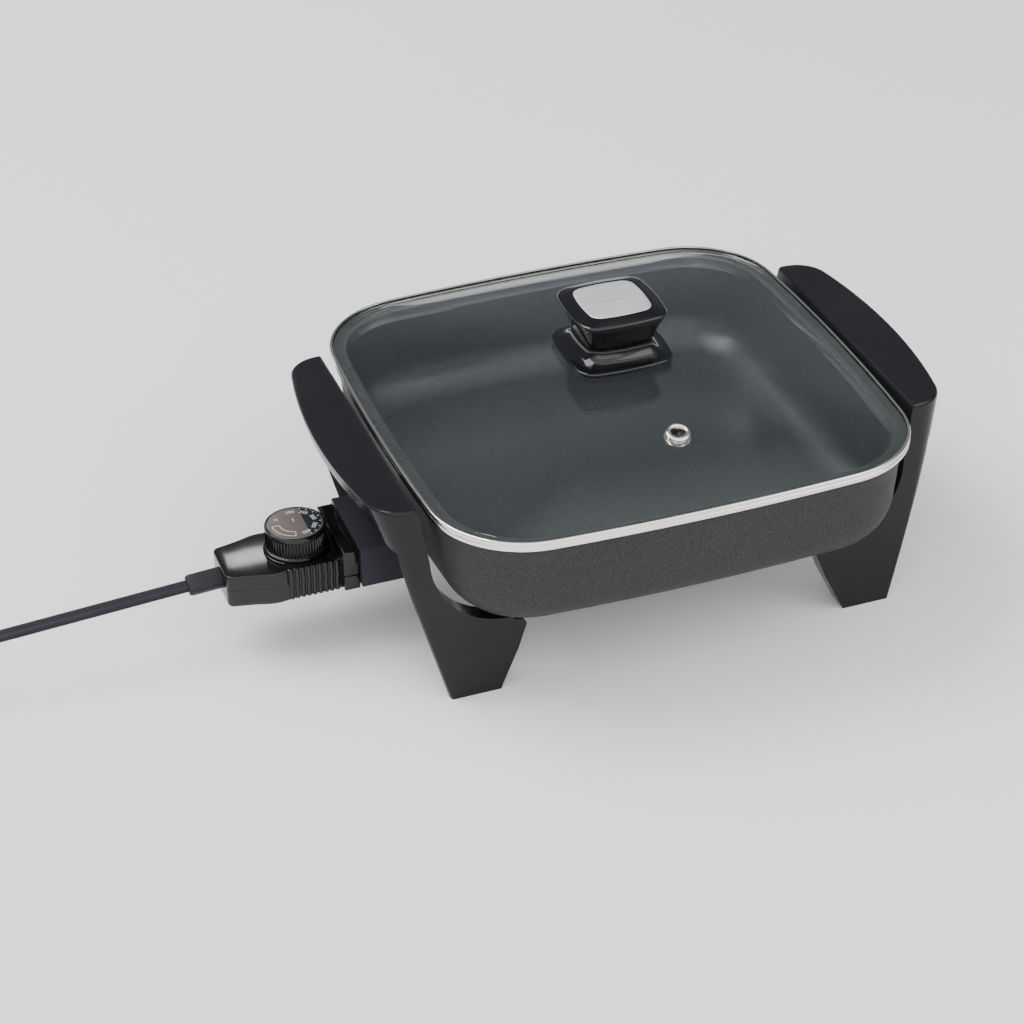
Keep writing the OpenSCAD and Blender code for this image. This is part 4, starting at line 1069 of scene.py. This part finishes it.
lower = skin("control_tray", control_rings([(2.4, BODY_BOTTOM - 1.0), (1.4, BODY_BOTTOM - 0.8), (0.5, BODY_BOTTOM),
                                            (0.1, BODY_BOTTOM + 1.0), (0, BODY_BOTTOM + 2.4), (0, SPLIT_Z - 0.08),
                                            (0.08, SPLIT_Z)]))
lower_parts = thumb_grips(BODY_BOTTOM + 1, SPLIT_Z, 24.6)
lower_parts.append(add_block(FLANGE_X - FLANGE_L, FLANGE_X, -28, 28, BODY_BOTTOM + 1, SPLIT_Z, 0.8))
tray = join("control_tray", lower_parts + [lower])
smooth(tray, 40)
finish_piece(tray, "control", [control_black], ["control_lower_shell"])

upper = skin("control_lid", control_rings([(0.08, SPLIT_Z + SEAM), (0, SPLIT_Z + SEAM + 0.08), (0, BODY_TOP - 1.7),
                                           (0.1, BODY_TOP - 1.1), (0.35, BODY_TOP - 0.6), (0.75, BODY_TOP - 0.22),
                                           (1.2, BODY_TOP - 0.05), (1.7, BODY_TOP)]))
upper_parts = thumb_grips(SPLIT_Z + SEAM, BODY_TOP + 1.5, 26.0)
upper_parts.append(add_block(FLANGE_X - FLANGE_L, FLANGE_X, -28, 28, SPLIT_Z + SEAM, FLANGE_TOP, 0.9))
collar = spun("dial_collar", [(15.0, -1), (20.6, -1), (20.6, 0.7), (20.3, 1.05), (19.8, 1.2), (15.0, 1.2)],
              place(DIAL_X, 0, BODY_TOP))
cover = join("control_lid", upper_parts + [collar, upper])
smooth(cover, 40)
finish_piece(cover, "control", [control_black], ["control_upper_shell"])

# %% [markdown]
# The indicator lamp's lens is a narrow slot in the top of the flange, dark while the lamp is off.

# %% Indicator lens
lens = softened("indicator_lens", "lamp_window", 0.4, 3)
finish_piece(lens, "control", [lens_dark], ["indicator_lens"])

# %% [markdown]
# ## The dial
#
# The dial's wall is cut into ribs for grip, with a plain ring above and a skirt below. Its teeth come from
# a ring whose radius steps in and out. The face is a thin plate in two tones. Numbers, ticks and an outlined
# band are separate raised prints on it.

# %% Dial body
DIAL_Z, DIAL_H, TEETH = 60.7, 16.0, 56
FACE_R, FACE_TOP = 17.2, DIAL_Z + DIAL_H


def dial_ring(r, z, depth=0.0):
    points = []
    for i in range(6 * TEETH):
        a = 2 * math.pi * i / (6 * TEETH)
        cut = (0, 0, 0.35, 1, 1, 0.35)[i % 6] * depth
        points.append(place(DIAL_X + (r - cut) * math.cos(a), (r - cut) * math.sin(a), z))
    return points


dial_steps = [(16.0, 0, 0), (19.6, 0, 0), (20.0, 0.3, 0), (20.0, 1.1, 0), (19.7, 1.5, 0), (19.0, 1.7, 0),
              (18.95, 2.0, 0.6), (18.95, 2.4, 0.8), (18.95, 12.0, 0.8), (18.95, 12.6, 0.6), (18.9, 12.9, 0),
              (19.0, 13.2, 0), (19.0, 14.9, 0), (18.85, 15.35, 0), (18.4, 15.8, 0), (17.9, 15.95, 0),
              (17.5, 15.8, 0), (17.35, 15.4, 0)]
dial = skin("dial_grip", [dial_ring(r, DIAL_Z + z, depth) for r, z, depth in dial_steps])
smooth(dial, 40)
finish_piece(dial, "dial", [control_black], ["control_dial"])

# %% Dial face
face_brown = make_material("dial_face_brown", [(0.115, 0.098, 0.090), (0.135, 0.116, 0.107)], (0.28, 0.36),
                           metallic=0.3, grain=(900.0, 0.004))
face_dark = make_material("dial_face_dark", [(0.008, 0.012, 0.022), (0.010, 0.015, 0.027)], (0.3, 0.38),
                          grain=None, Specular_IOR_Level=0.2)
print_pale = make_material("dial_print", [(0.62, 0.60, 0.57), (0.55, 0.53, 0.50)], (0.4, 0.5), grain=None)


def disc_ring(r, z):
    return [place(DIAL_X + r * math.cos(2 * math.pi * i / 96), r * math.sin(2 * math.pi * i / 96), z) for i in range(96)]


face_plate = skin("dial_disc", [disc_ring(r, FACE_TOP + z) for r, z in
                                ((16.9, -0.5), (17.2, -0.4), (17.2, -0.12), (17.05, -0.02), (16.8, 0))])
smooth(face_plate, 40)
finish_piece(face_plate, "dial", [face_brown], ["dial_plate"])


def flat_print(name, outline, rise):
    """A raised print: a filled outline about the dial's axis, given a thickness."""
    low = [place(DIAL_X + x, y, FACE_TOP + 0.001) for x, y in outline]
    high = [place(DIAL_X + x, y, FACE_TOP + rise) for x, y in outline]
    return skin(name, [low, high])


def band_outline(r0, r1, start, stop, count=20):
    return arc_points(0, 0, r1, start, stop, count) + arc_points(0, 0, r0, stop, start, count)


CHORD_X, DARK_R = 6.0, 16.4
chord_angle = math.degrees(math.acos(CHORD_X / DARK_R))
dark_sector = flat_print("dial_sector", arc_points(0, 0, DARK_R, -chord_angle, chord_angle, 36), 0.05)
finish_piece(dark_sector, "dial", [face_dark])


def add_number(text, angle, r, size=3.0):
    """A number that reads from outside the dial, as converted text."""
    bpy.ops.object.select_all(action="DESELECT")
    bpy.ops.object.text_add()
    label = bpy.context.object
    label.data.body = text
    label.data.align_x, label.data.align_y = "CENTER", "CENTER"
    label.data.size = size * MM
    label.data.extrude = 0.03 * MM
    choose(label)
    bpy.ops.object.convert(target="MESH")
    label = bpy.context.object
    a = math.radians(angle)
    label.rotation_euler = (0, 0, a - math.pi / 2)
    label.location = place(DIAL_X + r * math.cos(a), r * math.sin(a), FACE_TOP + 0.09)
    settle(label)
    return label


LINE, BAND_IN, BAND_OUT, BAND_FROM, BAND_TO = 0.45, 9.5, 14.4, 177, 257
outlined = [band_outline(BAND_OUT - LINE, BAND_OUT, BAND_FROM, BAND_TO),
            band_outline(BAND_IN, BAND_IN + LINE, BAND_FROM, BAND_TO),
            band_outline(BAND_IN, BAND_OUT, BAND_FROM - 1, BAND_FROM + 1, 2),
            band_outline(BAND_IN, BAND_OUT, BAND_TO - 1, BAND_TO + 1, 2)]
outlined += [band_outline(15.0, 16.2, a - 1, a + 1, 2) for a in (-66, -52, -32, -11, 10, 29, 48, 64)]
outlined += [band_outline(2.0, 5.0, 87, 97, 3)]
prints = [flat_print("print_%02d" % i, outline, 0.1) for i, outline in enumerate(outlined)]
prints += [add_number(text, angle, 12.2, 3.9) for text, angle in
           (("400", -70), ("350", -31), ("300", 10), ("250", 49), ("200", 89), ("0", 144))]
marks = join("dial_prints", prints)
finish_piece(marks, "dial", [print_pale])

# %% [markdown]
# ## Parts that stay as drawn
#
# Screws, pins, sleeves, the element and the parts inside the control keep the exact forms of their solids.
# Each gets its own finish.

# %% Remaining finishes
FINISHES = {
    "heating_element": sheath_steel, "element_pins": brass, "pin_bushes": ceramic_white,
    "guard_screws": screw_steel, "left_bracket_screws": screw_steel, "right_bracket_screws": screw_steel,
    "knob_gasket": rubber_black, "knob_washer": screw_steel, "knob_screw": screw_steel,
    "contact_block": block_black, "contact_sleeves": brass, "probe_rod": screw_steel,
    "thermostat_frame": screw_steel, "bimetal_blade": brass, "contact_arm": brass,
    "control_screws": screw_steel, "dial_spindle": screw_steel,
}
for node, finish in FINISHES.items():
    nodes[node].data.materials.clear()
    nodes[node].data.materials.append(finish)
print("nodes with new finishes:", len(FINISHES))

# %% [markdown]
# ## Floor and light
#
# The skillet stands on a pale seamless sheet. Large soft lamps light it evenly, and a pale world gives the
# gloss something to mirror.

# %% Floor


def add_floor():
    """A sheet of paper, with painted light that makes it paler towards the front."""
    bpy.ops.object.select_all(action="DESELECT")
    bpy.ops.mesh.primitive_plane_add(size=14, location=(0, 0, 0))
    floor = bpy.context.object
    floor.name = "floor"
    mat = make_material("floor_paper", [(0.94, 0.94, 0.95), (0.95, 0.95, 0.96)], (0.7, 0.8), grain=None, drift=1.0)
    tree, shader = mat.node_tree, mat.node_tree.nodes["Principled BSDF"]
    apart = tree.nodes.new("ShaderNodeSeparateXYZ")
    tree.links.new(tree.nodes.new("ShaderNodeTexCoord").outputs["Object"], apart.inputs["Vector"])
    # Painted light: the paper's colour is darker behind and paler in front, standing for light that falls off towards
    # the back.
    mix = tree.nodes.new("ShaderNodeMix")
    mix.data_type = "RGBA"
    tree.links.new(ranged(tree, apart.outputs["Y"], 0.7, -0.35), mix.inputs[0])
    mix.inputs[6].default_value = (0.86, 0.86, 0.872, 1)
    tree.links.new(shader.inputs["Base Color"].links[0].from_socket, mix.inputs[7])
    tree.links.new(mix.outputs[2], shader.inputs["Base Color"])
    path, white, veil = (tree.nodes.new("ShaderNode" + kind) for kind in ("LightPath", "Emission", "MixShader"))
    seen = path.outputs["Is Camera Ray"]
    for label in ("Is Glossy Ray", "Is Transmission Ray"):
        either = tree.nodes.new("ShaderNodeMath")
        either.operation = "MAXIMUM"
        tree.links.new(seen, either.inputs[0])
        tree.links.new(path.outputs[label], either.inputs[1])
        seen = either.outputs["Value"]
    tree.links.new(ranged(tree, seen, 0.0, 1.0, 0.0, 0.08), veil.inputs[0])
    tree.links.new(shader.outputs["BSDF"], veil.inputs[1])
    tree.links.new(white.outputs["Emission"], veil.inputs[2])
    tree.links.new(veil.outputs["Shader"], tree.nodes["Material Output"].inputs["Surface"])
    floor.data.materials.append(mat)
    return floor


floor = add_floor()

# %% Lamps and world


def add_lamp(name, location, target, size, power, tone=(1, 1, 1), spread=180):
    bpy.ops.object.light_add(type="AREA", location=location)
    lamp = bpy.context.object
    lamp.name = name
    lamp.data.shape = "RECTANGLE"
    lamp.data.size, lamp.data.size_y = size
    lamp.data.energy = power
    lamp.data.color = tone
    lamp.data.spread = math.radians(spread)
    lamp.rotation_euler = (Vector(target) - Vector(location)).to_track_quat("-Z", "Y").to_euler()
    return lamp


def pale_world():
    """A world that is bright overhead and in front, and dim behind and low down, so that the glass stays clear."""
    world = bpy.data.worlds.new("studio")
    bpy.context.scene.world = world
    world.use_nodes = True
    tree, background = world.node_tree, world.node_tree.nodes["Background"]
    slope = tree.nodes.new("ShaderNodeVectorMath")
    slope.operation = "DOT_PRODUCT"
    slope.inputs[1].default_value = (0, -1.2, 1)
    tree.links.new(tree.nodes.new("ShaderNodeTexCoord").outputs["Generated"], slope.inputs[0])
    mix = tree.nodes.new("ShaderNodeMix")
    mix.data_type = "RGBA"
    apart = tree.nodes.new("ShaderNodeSeparateXYZ")
    tree.links.new(tree.nodes.new("ShaderNodeTexCoord").outputs["Generated"], apart.inputs["Vector"])
    both = tree.nodes.new("ShaderNodeMath")
    both.operation = "MULTIPLY"
    tree.links.new(ranged(tree, slope.outputs["Value"], 0.3, 1.1), both.inputs[0])
    tree.links.new(ranged(tree, apart.outputs["Z"], 0.05, 0.5), both.inputs[1])
    tree.links.new(both.outputs["Value"], mix.inputs[0])
    mix.inputs[6].default_value = (0.125, 0.13, 0.145, 1)
    mix.inputs[7].default_value = (1.0, 1.0, 1.0, 1)
    tree.links.new(mix.outputs[2], background.inputs["Color"])
    background.inputs["Strength"].default_value = 1.75
    return world


pale_world()
add_lamp("key_softbox", (-1.2, 0.9, 2.2), (0, 0, 0.05), (1.8, 1.8), 74, (1, 0.985, 0.965))
add_lamp("fill_softbox", (1.6, -1.4, 1.9), (0, 0, 0.05), (1.6, 1.6), 17, (0.97, 0.98, 1))
add_lamp("front_card", (-0.5, -2.0, 1.1), (0, 0, 0.08), (2.6, 1.2), 12)
add_lamp("tail_card", (-0.134, 0.36, 0.309), (-0.213, 0, 0.059), (0.05, 0.045), 0.0007, (1, 0.95, 0.97), 16)
